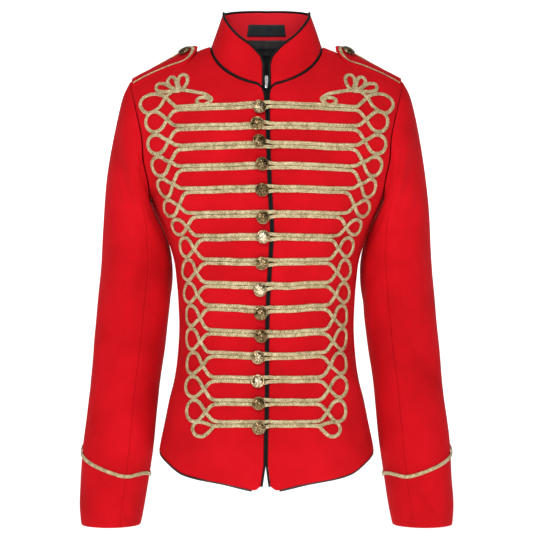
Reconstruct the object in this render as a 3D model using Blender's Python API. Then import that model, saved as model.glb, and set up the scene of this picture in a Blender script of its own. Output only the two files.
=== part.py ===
"""A red military parade jacket with flat gold braid, filled out as if worn.

The jacket faces -Y with +Z up. Its origin is at the base of the neck, level with the neck side
points. Sizes are in millimetres until a mesh is made. Right and left are the wearer's: the
wearer's right side is at -X.
"""

import math

import bmesh
import bpy
from mathutils import Matrix, Vector
from mathutils.geometry import delaunay_2d_cdt

MM = 0.001

# Driving dimensions
WALL = 2.0
COLLAR_WALL = 2.4
LINING_WALL = 1.0
LINING_GAP = 0.9
SEAM_GAP = 0.7
SEAT_GAP = 0.6
ROUNDNESS = 2.25
ARMPIT = -222.0
SHOULDER_POINT = 203.0
SHOULDER_DROP = -47.0
NECK_HALF_WIDTH = 82.0
NECK_GAP = 2.1
NECK_EDGE = 6.6
NECK_SIDE_HEIGHT = 5.0
NECK_BACK_RISE = 6.0
NECK_FRONT_DROP = 62.0
NECK_FRONT_DIP = 3.0
NECK_TIP_DROP = 12.0
CHEST_LEVEL = -180.0
PIPING = 3.0
EDGE_INSET = 3.6
NOTCH_TOP = -612.0
NOTCH_SPREAD = 0.14
BRAID_WIDTH = 5.4
BRAID_HEIGHT = 1.8
BUTTON_DIAMETER = 20.0
COLLAR_START = 4.7
COLLAR_SEAT = 2.3
COLLAR_SEAT_LEAN = 0.008
COLLAR_COLUMNS = 30
LABEL_COLUMNS = 4
NECK_CENTRE = -14.0
ZIP_TOP = -47.0
ZIP_FOOT = -614.0
ZIP_DEPTH = 3.4
STRAP_OUTER = 201.0
STRAP_TIP = 104.0
STRAP_HALF_WIDTH = 23.0
STRAP_WALL = 2.5
STRAP_LIFT = 5.5
STRAP_TWIST = 5.5
STRAP_ROOT_Y = -5.0
STRAP_TIP_Y = -24.0
CUFF_REACH = 130.0
CUFF_PEAK = -32.0
CUFF_LOW = -634.0
SLIDER_TOP = -47.5
SLIDER_WIDTH = 4.6
SLIDER_LENGTH = 9.0
PIVOT_DROP = -4.0
PULL_LENGTH = 17.0
SIDES = (("right", -1), ("left", 1))

# Grid counts of the cloth panels
FRONT_COLUMNS = 12
NECK_COLUMNS = 5
BACK_COLUMNS = 11
BACK_NECK_COLUMNS = 5
LINING_COLUMNS = 6
LINING_ROWS = 6
LOWER_ROWS = 13
UPPER_ROWS = 8
SLEEVE_ROWS = 16
SLEEVE_SEGMENTS = 16

# The body's level sections: height, half width, front depth, back depth
BODY_SECTIONS = (
    (-680, 165, 111, 112),
    (-601, 159, 108, 110),
    (-555, 150, 104, 106),
    (-525, 144, 100, 101),
    (-495, 136.5, 96, 93),
    (-465, 132, 93, 85),
    (-420, 129, 92, 79),
    (-375, 130.5, 95, 80),
    (-345, 133, 98, 84),
    (-315, 137, 102, 89),
    (-280, 148, 106, 95),
    (-250, 161, 109, 99),
    (-225, 172, 111, 102),
    (-200, 186, 112, 104),
    (-170, 200, 112, 105),
    (-140, 208, 111, 105),
    (-100, 218, 109, 103),
    (-60, 226, 106, 99),
    (0, 236, 100, 92),
    (40, 240, 98, 88),
)

# The closing line of the fronts wanders a little: height, distance from the middle
CLOSING_LINE = (
    (-660, -1.5), (-590, -1), (-520, 0.7), (-416, 1), (-359, 3), (-301, 6.5),
    (-272, 8), (-215, 5), (-157, 3), (-100, 1.5), (-58, 0), (60, 0),
)

# The armhole seam seen from the front: height, distance from the middle
ARMHOLE_EDGE = (
    (-222, 173.5), (-215, 174), (-200, 175), (-170, 181), (-138, 183), (-115, 187.5),
    (-85, 195), (-60, 201.5), (-47, 203), (20, 205),
)

# The front hem: distance from the middle, height
FRONT_HEM = (
    (0, -640), (8, -642), (12, -645.5), (18, -647), (60, -638), (122, -627),
    (148, -611), (160, -601.5),
)

# A sleeve's rings from armhole to cuff: outer x and z, inner x and z, half depth, middle y
SLEEVE_RINGS = (
    (203, -47, 173.5, -222, 58, 0),
    (214, -68, 173.5, -231, 63, 3),
    (223, -98, 169, -241, 66, 7),
    (230, -132, 163.5, -253, 67, 11),
    (236.5, -172, 156, -268, 66, 15),
    (242, -220, 148, -289, 65, 19),
    (247, -275, 142.5, -319, 63, 23),
    (251.5, -335, 142.5, -356, 61, 25),
    (257, -395, 148, -400, 59, 26),
    (262, -445, 153.5, -447, 57, 25),
    (267, -495, 160.5, -495, 55, 21),
    (271.5, -547, 165.5, -547, 53, 15),
    (275.5, -595, 170.5, -597, 50, 9),
    (278, -640, 177, -645, 48, 4),
    (280.5, -680, 183.5, -685, 46, 1),
    (278.5, -711, 189, -711, 45, 0),
)
FRONT_SEAM_ANGLE = 112.5
BACK_SEAM_ANGLE = -112.5

# A sleeve's largest folds: ring, angle, depth, half length in rings, half width in degrees, slant
SLEEVE_FOLDS = (
    (4.2, 78, -4.0, 1.5, 20, 22),
    (6.2, 60, 3.0, 1.3, 24, 18),
    (7.6, 105, -4.5, 1.2, 30, -16),
    (9.2, 60, -3.5, 1.0, 34, -12),
    (12.6, 40, 2.6, 0.9, 40, 14),
    (5.5, -75, -4.0, 1.6, 26, -18),
    (8.6, -60, -3.8, 1.2, 32, 15),
    (11.4, -80, 3.0, 1.1, 30, -10),
)

# The collar along its seam: angle from the front, height, and how far its top edge leans in
COLLAR_HEIGHT = (
    (4, 30, 0.073), (6, 37.4, 0.108), (12, 43.2, 0.138), (21, 50.4, 0.159), (41, 54, 0.168),
    (62, 54.8, 0.18), (90, 48, 0.191), (135, 48, 0.191), (180, 47.5, 0.189),
)

# The rows of braid: heights of the button, of the closing end, of the end before the
# crossing, and of the loops beside it
BRAID_ROWS = (
    (-96, -92, -95, -97), (-120, -122.5, -124, -131), (-146, -150, -152.5, -163),
    (-178, -180, -182.5, -195), (-214, -213, -214.5, -226), (-254, -249.5, -250, -254),
    (-282, -282, -283, -281), (-319, -318.5, -317.5, -313), (-358, -353, -351, -347),
    (-393, -387, -384, -380), (-425, -422.5, -420, -414), (-456, -455, -453, -449),
    (-492, -488.5, -488.5, -484), (-523, -521, -521.5, -518), (-557, -552, -552, -553),
)
# The outer loop below each row: how far out its middle lies along the cloth, half its width
BRAID_LOOPS = (
    (168, 15), (166, 15), (163, 14.5), (160, 13.5), (154, 15), (141, 14), (129.5, 13),
    (127, 13), (125, 13), (121, 13), (120, 13), (115, 13), (112, 13), (109, 13),
)
FLAT_SNAP = 0.4
SPREADS = {}
# How far each button lies from the middle
BUTTON_PLACES = (-11, -13, -11, -7, -6, -6, -5, -7, -10, -8, -8, -13, -12, -12, -11)


def smooth_value(rows, at, column):
    """A table's column at a place between its rows, on a smooth curve through them."""
    if at <= rows[0][0]:
        return rows[0][column]
    if at >= rows[-1][0]:
        return rows[-1][column]
    low = max(i for i in range(len(rows) - 1) if rows[i][0] <= at)
    a = rows[max(low - 1, 0)]
    b = rows[low]
    c = rows[low + 1]
    d = rows[min(low + 2, len(rows) - 1)]
    step = c[0] - b[0]
    t = (at - b[0]) / step
    slope_b = (c[column] - a[column]) / (c[0] - a[0]) * step
    slope_c = (d[column] - b[column]) / (d[0] - b[0]) * step
    return (
        (2 * t**3 - 3 * t**2 + 1) * b[column]
        + (t**3 - 2 * t**2 + t) * slope_b
        + (3 * t**2 - 2 * t**3) * c[column]
        + (t**3 - t**2) * slope_c
    )


def blend(low, high, share):
    return low + (high - low) * share


def soft_step(value):
    value = min(max(value, 0.0), 1.0)
    return value * value * (3 - 2 * value)


# the body's form


def half_width(z):
    return smooth_value(BODY_SECTIONS, z, 1)


def ridge_height(x):
    """The shoulder ridge, from the neck side point down to the shoulder point."""
    out = abs(x) - NECK_HALF_WIDTH
    return NECK_SIDE_HEIGHT - 0.32 * out - (0.00092 * out * out if out > 0 else 0.0)


def neck_height(angle):
    """The neck seam's height at an angle from the front, in degrees."""
    turn = math.radians(angle)
    toward = math.cos(turn)
    if toward < 0:
        return NECK_SIDE_HEIGHT + NECK_BACK_RISE * toward**2
    dip = NECK_FRONT_DIP * toward**8 + NECK_TIP_DROP * toward**220
    return NECK_SIDE_HEIGHT - NECK_FRONT_DROP * toward - dip


def section_depth(x, z, facing):
    """How deep the level section at z is at x, before the shoulders round it off."""
    share = min(abs(x) / half_width(z), 1.0)
    depth = smooth_value(BODY_SECTIONS, z, 2 if facing < 0 else 3)
    return depth * (1 - share**ROUNDNESS) ** (1 / ROUNDNESS)


def body_depth(x, z, facing):
    """The body's y at x and z; facing is -1 on the front and 1 on the back."""
    depth = section_depth(x, z, facing)
    if z > CHEST_LEVEL:
        rise = min((z - CHEST_LEVEL) / (ridge_height(x) - CHEST_LEVEL), 1.0)
        power = 2.0 if facing < 0 else 2.4
        depth *= (1 - rise**power) ** (1 / power)
    return facing * (depth + SEAM_GAP / 2)


def edge_angle(z):
    """Where a panel ends at its side, as a section angle: the side seam or the armhole."""
    if z <= ARMPIT:
        return math.pi / 2
    share = min(smooth_value(ARMHOLE_EDGE, z, 1) / half_width(z), 1.0)
    return math.asin(share ** (ROUNDNESS / 2))


def hem_height(x, facing):
    if facing > 0:
        return -601.5 - 3 * (1 - abs(x) / 160)
    rows = FRONT_HEM
    return smooth_value(rows, min(abs(x), 160), 1)


def edge_inset(z):
    """How far a front's closing edge lies from the closing line; it opens at both ends."""
    notch = NOTCH_SPREAD * max(NOTCH_TOP - z, 0.0)
    return EDGE_INSET + notch + (NECK_EDGE - EDGE_INSET) * soft_step((z + 95) / 38)


def panel_x(share, z, facing):
    """How far out a panel's point lies; share runs from the middle to the side, 0 to 1."""
    turn = share * edge_angle(z)
    inset = edge_inset(z) * (1 - share) if facing < 0 else 0.0
    return inset + half_width(z) * math.sin(turn) ** (2 / ROUNDNESS)


def panel_station(share, row, facing, neck_share):
    """The x and z of a panel's point at a share of its width and a row of its grid."""
    if row <= LOWER_ROWS:
        z = ARMPIT
        for _ in range(3):
            x = panel_x(share, z, facing)
            z = blend(hem_height(x, facing), ARMPIT, row / LOWER_ROWS)
        return panel_x(share, z, facing), z
    rise = (1 - math.cos(math.pi * (row - LOWER_ROWS) / UPPER_ROWS)) / 2
    neck_end = NECK_HALF_WIDTH + NECK_GAP
    if share <= neck_share:
        start = math.degrees(math.asin(NECK_EDGE / neck_end)) if facing < 0 else 0.0
        angle = blend(start, 90, share / neck_share)
        top_x = neck_end * math.sin(math.radians(angle))
        level = ridge_height(neck_end) - NECK_SIDE_HEIGHT
        top_z = neck_height(angle if facing < 0 else 180 - angle) + level
        top_z -= (NECK_GAP + level) * math.cos(math.radians(angle))
    else:
        top_x = blend(neck_end, SHOULDER_POINT, (share - neck_share) / (1 - neck_share))
        top_z = ridge_height(top_x)
    z = blend(ARMPIT, top_z, rise)
    x = panel_x(share, z, facing)
    return x + rise * (top_x - panel_x(share, top_z, facing)), z


def front_point(side, across, up):
    """A point of a front: across runs from the closing edge to the side, up from the hem."""
    x, z = panel_station(across, up * (LOWER_ROWS + UPPER_ROWS), -1, NECK_COLUMNS / FRONT_COLUMNS)
    x = side * x + smooth_value(CLOSING_LINE, z, 1) * (1 - across) ** 2
    return Vector((x, body_depth(x, z, -1), z))


def back_point(across, up):
    """A point of the back: across runs from 0 to 1, from the wearer's right to the left."""
    share = 2 * across - 1
    rows = LOWER_ROWS + UPPER_ROWS
    x, z = panel_station(abs(share), up * rows, 1, BACK_NECK_COLUMNS / BACK_COLUMNS)
    return Vector((math.copysign(x, share), body_depth(x, z, 1), z))


def normal_at(place, u, w):
    """The direction square to a surface, where place gives its points for u and w, 0 to 1."""
    step = 0.002
    low_u, high_u = max(u - step, 0.0), min(u + step, 1.0)
    low_w, high_w = max(w - step, 0.0), min(w + step, 1.0)
    along = place(high_u, w) - place(low_u, w)
    up = place(u, high_w) - place(u, low_w)
    return along.cross(up).normalized()


# sleeves


def armhole(side, angle):
    """The armhole seam at an angle: 0 at the shoulder point, 90 in front, 180 at the armpit.

    Returns the point, the panel's outward direction, and the way off the panel at its edge.
    """
    rise = 1 - abs(angle) / 180
    up = (LOWER_ROWS + UPPER_ROWS * rise) / (LOWER_ROWS + UPPER_ROWS)
    if angle >= 0:
        place = lambda u, w: front_point(side, u, w)
        across = 1.0
        facing = side
    else:
        place = back_point
        across = (1 + side) / 2
        facing = -1
    point = place(across, up)
    outward = normal_at(place, across, min(max(up, 0.001), 1.0)) * facing
    if abs(angle) in (0, 180):
        point.y = 0.0
    return point, outward


def armhole_start(side, angle):
    """A sleeve's first ring: its outer and inner points at an angle."""
    point, outward = armhole(side, angle)
    ahead = armhole(side, angle + 2 if angle < 179 else angle - 358)[0]
    behind = armhole(side, angle - 2 if angle > -179 else angle + 358)[0]
    tangent = (ahead - behind).normalized()
    off = tangent.cross(outward).normalized()
    middle = Vector((side * (SHOULDER_POINT + 15), 0.0, (SHOULDER_DROP + ARMPIT) / 2))
    if off.dot(middle - point) < 0:
        off.negate()
    turn = math.pi / 2 * soft_step((abs(angle) - 90) / 90)
    through = outward * math.cos(turn) - off * math.sin(turn)
    outer = point + off * SEAM_GAP + outward * 0.1
    return outer, outer - through * WALL


def sleeve_section(side, ring, angle):
    """A point of a sleeve's plain section at a ring, which may lie between two rings."""
    rows = tuple((index,) + row for index, row in enumerate(SLEEVE_RINGS))
    outer_x, outer_z, inner_x, inner_z, half, middle = (
        smooth_value(rows, ring, column) for column in range(1, 7)
    )
    turn = math.radians(angle)
    share = (1 + math.cos(turn)) / 2
    x = blend(inner_x, outer_x, share)
    z = blend(inner_z, outer_z, share)
    return Vector((side * x, middle - half * math.sin(turn), z))


def sleeve_point(side, angle, ring):
    """A point of a sleeve's outer face, with its folds."""
    point = sleeve_section(side, ring, angle)
    if ring < 4:
        start = armhole_start(side, angle)[0]
        point += (start - sleeve_section(side, 0, angle)) * (1 - ring / 4) ** 2
    rows = tuple((index,) + row for index, row in enumerate(SLEEVE_RINGS))
    middle = Vector((side * (smooth_value(rows, ring, 1) + smooth_value(rows, ring, 3)) / 2,
                     smooth_value(rows, ring, 6), point.z))
    push = (point - middle).normalized()
    for fold_ring, fold_angle, depth, length, width, slant in SLEEVE_FOLDS:
        shift = ring - fold_ring
        off = (angle - fold_angle - slant * shift) / width
        share = math.exp(-(off * off) - (shift / length) ** 2)
        point += push * depth * share * soft_step(ring / 2)
    return point


def sleeve_panel(side, first, last):
    """A sleeve panel's place function; its angles run from first to last."""

    def place(u, w):
        return sleeve_point(side, wrapped(blend(first, last, u)), w * (len(SLEEVE_RINGS) - 1))

    return place


def wrapped(angle):
    return (angle + 180) % 360 - 180 if angle != 180 else 180


# the collar and the closing edges


def neck_ring(angle):
    """A point of the neck seam; the angle runs from 0 in front, past the wearer's left, to 360."""
    turn = math.radians(angle)
    x = NECK_HALF_WIDTH * math.sin(turn)
    z = neck_height(angle)
    facing = -1 if math.cos(turn) > 0 else 1
    return Vector((x, body_depth(x, z, facing) - facing * SEAM_GAP / 2, z))


def collar_point(around, up):
    """A point of the collar's outer face; up is 0 at the neck seam and 1 at the top edge."""
    angle = blend(COLLAR_START, 360 - COLLAR_START, around)
    height = COLLAR_SEAT + smooth_value(COLLAR_HEIGHT, min(angle, 360 - angle), 1) * up
    base = neck_ring(angle)
    narrow = 1 - COLLAR_SEAT_LEAN - smooth_value(COLLAR_HEIGHT, min(angle, 360 - angle), 2) * up
    y = (base.y - NECK_CENTRE) * narrow + NECK_CENTRE
    return Vector((base.x * narrow, y, base.z + height))


def collar_edge():
    """The line of the collar's piping, up one front edge, round the top and down the other."""
    front = [(0.0, step / 3) for step in range(3)]
    top = [(step / COLLAR_COLUMNS, 1.0) for step in range(COLLAR_COLUMNS + 1)]
    back = [(1.0, 1 - step / 3) for step in range(1, 4)]
    stations = front + top + back
    edge = [collar_point(u, w) - normal_at(collar_point, u, w) * COLLAR_WALL / 2
            for u, w in stations]
    line = []
    for index, (u, w) in enumerate(stations):
        tangent = edge[min(index + 1, len(edge) - 1)] - edge[max(index - 1, 0)]
        outward = tangent.cross(normal_at(collar_point, u, w)).normalized()
        line.append(edge[index] - outward * (PIPING / 2 + 0.5))
    return line


def closing_line(side, out, depth, up):
    """A point beside the closing line, out from it and depth under the cloth's face."""
    z = blend(ZIP_FOOT, ZIP_TOP, up)
    x = smooth_value(CLOSING_LINE, z, 1) + side * out
    return Vector((x, body_depth(x, z, -1) + depth, z))


# places on the cloth, for braid and buttons


def cloth_spread(z):
    """How far along the cloth each section angle lies from the middle, at a height."""
    key = round(z)
    if key not in SPREADS:
        total = 0.0
        rows = [(0.0, 0.0)]
        last = Vector((0.0, body_depth(0.0, key, -1)))
        for step in range(1, 45):
            x = half_width(key) * math.sin(math.radians(2 * step)) ** (2 / ROUNDNESS)
            here = Vector((x, body_depth(x, key, -1)))
            total += (here - last).length
            rows.append((total, x))
            last = here
        SPREADS[key] = rows
    return SPREADS[key]


def cloth_x(distance, z):
    """The x of the point that lies a distance from the middle along the front's cloth."""
    rows = cloth_spread(z)
    low = cloth_spread_x(rows, abs(distance))
    return math.copysign(low, distance)


def cloth_spread_x(rows, distance):
    for (low, low_x), (high, high_x) in zip(rows, rows[1:]):
        if distance <= high:
            return blend(low_x, high_x, (distance - low) / (high - low))
    return rows[-1][1]


def on_front(side):
    """Places points on a front by distance along the cloth, height, and height off the cloth."""

    def surface(distance, z):
        x = side * cloth_x(distance, z)
        return Vector((x, body_depth(x, z, -1), z))

    def place(distance, z, off):
        along = surface(distance + 1, z) - surface(distance - 1, z)
        up = surface(distance, z + 1) - surface(distance, z - 1)
        return surface(distance, z) + along.cross(up).normalized() * side * off

    return place


def strap_height(x, y):
    """The top face of a shoulder strap that lies on the ridge."""
    facing = -1 if y < 0 else 1
    reach = section_depth(x, SHOULDER_DROP, facing)
    power = 2.0 if y < 0 else 2.4
    drop = (1 - min(abs(y) / reach, 1) ** power) ** (1 / power)
    cloth = CHEST_LEVEL + (ridge_height(x) - CHEST_LEVEL) * drop
    return cloth + SEAT_GAP + 0.5 + STRAP_WALL


def on_strap(side):
    """Places points on a strap by distance from its outer end, across it, and height off it."""

    def place(distance, across, off):
        x = STRAP_OUTER - distance
        share = distance / (STRAP_OUTER - STRAP_TIP)
        y = blend(STRAP_ROOT_Y, STRAP_TIP_Y, share) + across
        rise = (STRAP_LIFT + STRAP_TWIST * across / STRAP_HALF_WIDTH) * share**3
        return Vector((side * x, y, strap_height(x, y) + rise + off))

    return place


def on_cuff(side):
    """Places points on a sleeve by distance round it from its outer side, height, and off it."""

    def surface(distance, z):
        angle = distance / CUFF_REACH * 180
        ring = cuff_ring(z)
        return sleeve_point(side, wrapped(angle), ring)

    def place(distance, z, off):
        along = surface(distance + 1, z) - surface(distance - 1, z)
        up = surface(distance, z + 1) - surface(distance, z - 1)
        return surface(distance, z) + up.cross(along).normalized() * side * (off + 0.3)

    return place


def cuff_ring(z):
    """The ring of a sleeve whose outer side is at a height."""
    for index, (row, following) in enumerate(zip(SLEEVE_RINGS, SLEEVE_RINGS[1:])):
        if z >= following[1]:
            return index + (row[1] - z) / (row[1] - following[1])
    return len(SLEEVE_RINGS) - 1


# meshes


def material(name, colour, roughness, metallic=0.0):
    found = bpy.data.materials.get(name)
    if found:
        return found
    made = bpy.data.materials.new(name)
    made.use_nodes = True
    shader = made.node_tree.nodes["Principled BSDF"]
    shader.inputs["Base Color"].default_value = (*colour, 1.0)
    shader.inputs["Roughness"].default_value = roughness
    shader.inputs["Metallic"].default_value = metallic
    return made


def red_cloth():
    return material("red_cloth", (0.66, 0.012, 0.018), 0.85)


def black_trim():
    return material("black_trim", (0.012, 0.012, 0.013), 0.7)


def gold_braid():
    return material("gold_braid", (0.58, 0.44, 0.22), 0.5, 0.4)


def old_brass():
    return material("old_brass", (0.35, 0.26, 0.12), 0.4, 1.0)


def zip_metal():
    return material("zip_metal", (0.6, 0.6, 0.62), 0.3, 1.0)


def add_object(name, mesh_data, finish, smooth=True):
    """Closes a mesh in millimetres as a named object in metres."""
    bmesh.ops.remove_doubles(mesh_data, verts=mesh_data.verts, dist=0.0005)
    bmesh.ops.recalc_face_normals(mesh_data, faces=mesh_data.faces)
    bmesh.ops.scale(mesh_data, vec=(MM, MM, MM), verts=mesh_data.verts)
    mesh = bpy.data.meshes.new(name)
    mesh_data.to_mesh(mesh)
    mesh_data.free()
    mesh.materials.append(finish)
    if smooth:
        mesh.shade_smooth()
        mesh.set_sharp_from_angle(angle=math.radians(40))
    made = bpy.data.objects.new(name, mesh)
    bpy.context.collection.objects.link(made)
    return made


def wall(name, columns, rows, points, finish):
    """A wall of cloth. points gives the outer and the inner point for u and w, 0 to 1."""
    cloth = bmesh.new()
    skins = []
    for face in range(2):
        before = set(cloth.verts)
        bmesh.ops.create_grid(cloth, x_segments=columns, y_segments=rows, size=0.5)
        fresh = [vert for vert in cloth.verts if vert not in before]
        for vert in fresh:
            u = round((vert.co.x + 0.5) * columns) / columns
            w = round((vert.co.y + 0.5) * rows) / rows
            vert.co = points(u, w)[face]
        skins.append(fresh)
    rims = [edge for edge in cloth.edges if edge.is_boundary]
    bmesh.ops.bridge_loops(cloth, edges=rims)
    return add_object(name, cloth, finish)


def cloth_wall(place, facing, outer_depth=0.0, thickness=WALL):
    """The points of a wall under a surface, for wall()."""

    def points(u, w):
        outward = normal_at(place, u, w) * facing
        point = place(u, w)
        return point - outward * outer_depth, point - outward * (outer_depth + thickness)

    return points


def tube(name, line, radius, finish):
    """A cord along a line of points, with closed ends."""
    curve = bpy.data.curves.new(name, "CURVE")
    curve.dimensions = "3D"
    curve.bevel_depth = radius * MM
    curve.bevel_resolution = 0
    curve.use_fill_caps = True
    spline = curve.splines.new("POLY")
    spline.points.add(len(line) - 1)
    for point, place in zip(spline.points, line):
        point.co = (*(place * MM), 1.0)
    curve.materials.append(finish)
    made = bpy.data.objects.new(name, curve)
    bpy.context.collection.objects.link(made)
    return made


def rounded(points, step, closed=False):
    """A smooth line through points, with a point every step or so."""
    count = len(points)
    pick = (lambda i: points[i % count]) if closed else (lambda i: points[min(max(i, 0), count - 1)])
    line = []
    for index in range(count if closed else count - 1):
        a, b, c, d = (Vector(pick(index + shift)) for shift in (-1, 0, 1, 2))
        pieces = max(1, round((c - b).length / step))
        for piece in range(pieces):
            t = piece / pieces
            line.append(
                b + 0.5 * t * (c - a + t * (2 * a - 5 * b + 4 * c - d + t * (3 * (b - c) + d - a)))
            )
    line.append(Vector(pick(count)) if not closed else line[0])
    return line


def ribbon_faces(line, width):
    """The flat quads of a ribbon along a line in the plane."""
    sides = []
    closed = (line[0] - line[-1]).length < 0.01
    count = len(line)
    for index, point in enumerate(line):
        if closed and index in (0, count - 1):
            before, after = line[count - 2], line[1]
        else:
            before, after = line[max(index - 1, 0)], line[min(index + 1, count - 1)]
        along = (after - before).normalized()
        across = Vector((-along.y, along.x)) * width / 2
        sides.append((point + across, point - across))
    return [(b[1], c[1], c[0], b[0]) for b, c in zip(sides, sides[1:])]


def inside(quad, spot):
    """Whether a spot lies in a flat quad whose corners run counter-clockwise."""
    for a, b in zip(quad, (*quad[1:], quad[0])):
        if (b.x - a.x) * (spot.y - a.y) < (b.y - a.y) * (spot.x - a.x):
            return False
    return True


def flat_mesh(points, triangles):
    flat = bmesh.new()
    verts = {}
    for triangle in triangles:
        for index in triangle:
            if index not in verts:
                verts[index] = flat.verts.new((*points[index], 0.0))
        flat.faces.new([verts[index] for index in triangle])
    return flat


def joined_flat(quads):
    """The flat mesh that overlapping quads cover together, with no points inside it."""
    corners = [corner for quad in quads for corner in quad]
    faces = [list(range(index, index + 4)) for index in range(0, len(corners), 4)]
    points, _, triangles, _, _, owners = delaunay_2d_cdt(corners, [], faces, 1, FLAT_SNAP)
    covered = flat_mesh(points, [t for t, owner in zip(triangles, owners) if owner])
    rims = [edge for edge in covered.edges if edge.is_boundary]
    order = {}
    for edge in rims:
        for vert in edge.verts:
            order.setdefault(vert, len(order))
    spots = [vert.co.to_2d() for vert in order]
    pairs = [tuple(order[vert] for vert in edge.verts) for edge in rims]
    covered.free()
    points, _, triangles, _, _, _ = delaunay_2d_cdt(spots, pairs, [], 0, 0.001)
    kept = []
    for triangle in triangles:
        middle = sum((points[index] for index in triangle), Vector((0.0, 0.0))) / 3
        if any(inside(quad, middle) for quad in quads):
            kept.append(triangle)
    return flat_mesh(points, kept)


def braid(name, bands, place, finish):
    """Flat braid joined where it crosses; bands holds pairs of a line and its width."""
    quads = []
    for line, width in bands:
        for quad in ribbon_faces(line, width):
            turn = sum(a.x * b.y - a.y * b.x for a, b in zip(quad, quad[1:] + quad[:1]))
            quads.append(quad if turn > 0 else quad[::-1])
    band = joined_flat(quads)
    for _ in range(3):
        pinched = [vert.co.to_2d() for vert in band.verts
                   if sum(edge.is_boundary for edge in vert.link_edges) > 2]
        if not pinched:
            break
        for spot in pinched:
            quads.append(tuple(spot + Vector(way) for way in ((0.9, 0), (0, 0.9), (-0.9, 0), (0, -0.9))))
        band.free()
        band = joined_flat(quads)
    raised = bmesh.ops.extrude_face_region(band, geom=list(band.faces), use_keep_orig=True)
    top = [item for item in raised["geom"] if isinstance(item, bmesh.types.BMVert)]
    low = [vert for vert in band.verts if vert not in set(top)]
    for group, off in ((low, SEAT_GAP), (top, SEAT_GAP + BRAID_HEIGHT)):
        for vert in group:
            vert.co = place(vert.co.x, vert.co.y, off)
    return add_object(name, band, finish, smooth=False)


# the cut pieces


def make_body():
    rows = LOWER_ROWS + UPPER_ROWS
    for name, side in SIDES:
        place = lambda u, w, side=side: front_point(side, u, w)
        wall(f"front_{name}", FRONT_COLUMNS, rows, cloth_wall(place, side), red_cloth())
    wall("back", 2 * BACK_COLUMNS, rows, cloth_wall(back_point, -1), red_cloth())
    lining = cloth_wall(lining_point, -1, WALL + LINING_GAP, LINING_WALL)
    wall("back_lining", LINING_COLUMNS, LINING_ROWS, lining, black_trim())


def lining_point(u, w):
    """The back's own points, over the columns and rows that show through the neck."""
    columns = 2 * BACK_COLUMNS
    rows = LOWER_ROWS + UPPER_ROWS
    across = (columns / 2 - LINING_COLUMNS / 2 + LINING_COLUMNS * u) / columns
    return back_point(across, (rows - 1 - LINING_ROWS + LINING_ROWS * w) / rows)


def make_sleeves():
    for name, side in SIDES:
        for part, first, last in (
            ("top", BACK_SEAM_ANGLE, FRONT_SEAM_ANGLE),
            ("under", FRONT_SEAM_ANGLE, 360 + BACK_SEAM_ANGLE),
        ):
            seam = 0.25
            plain = cloth_wall(sleeve_panel(side, first + seam, last - seam), side)

            def points(u, w, side=side, first=first, last=last, plain=plain):
                if w > 0:
                    return plain(u, w)
                return armhole_start(side, wrapped(blend(first + seam, last - seam, u)))

            columns = round(SLEEVE_SEGMENTS * (last - first) / 360)
            wall(f"sleeve_{part}_{name}", columns, SLEEVE_ROWS, points, red_cloth())


def make_collar():
    wall("collar", COLLAR_COLUMNS, 2, cloth_wall(collar_point, 1, 0.0, COLLAR_WALL), red_cloth())
    tube("collar_piping", collar_edge(), PIPING / 2, black_trim())
    seam = []
    for step in range(33):
        angle = blend(COLLAR_START, 360 - COLLAR_START, step / 32)
        base = neck_ring(angle)
        base.y = (base.y - NECK_CENTRE) * 0.985 + NECK_CENTRE
        base.x *= 0.985
        base.z -= 0.5
        seam.append(base)
    tube("neck_piping", seam, PIPING / 2, black_trim())
    share = LABEL_COLUMNS / COLLAR_COLUMNS / 2
    label = lambda u, w: collar_point(blend(0.5 - share, 0.5 + share, u), blend(0.27, 0.64, w))
    wall("label", LABEL_COLUMNS, 1, cloth_wall(label, 1, COLLAR_WALL + SEAT_GAP, 0.8), black_trim())


def make_closing():
    for name, side in SIDES:
        line = []
        for step in range(20):
            edge = front_point(side, 0.0, step / 19 * 0.997)
            line.append(edge + Vector((-side * (PIPING / 2 + 0.5), WALL / 2, 0.0)))
        tube(f"front_piping_{name}", line, PIPING / 2, black_trim())

        def tape(u, w, side=side):
            return (closing_line(side, blend(2.7, 15, u), ZIP_DEPTH, w),
                    closing_line(side, blend(2.7, 15, u), ZIP_DEPTH + LINING_WALL, w))

        wall(f"zip_tape_{name}", 1, 22, tape, black_trim())

    def chain(u, w):
        out = blend(-2.3, 2.3, u)
        return closing_line(1, out, ZIP_DEPTH, w * 0.985), closing_line(1, out, ZIP_DEPTH + 1.6, w * 0.985)

    wall("zip_chain", 1, 22, chain, zip_metal())
    make_slider()


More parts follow.
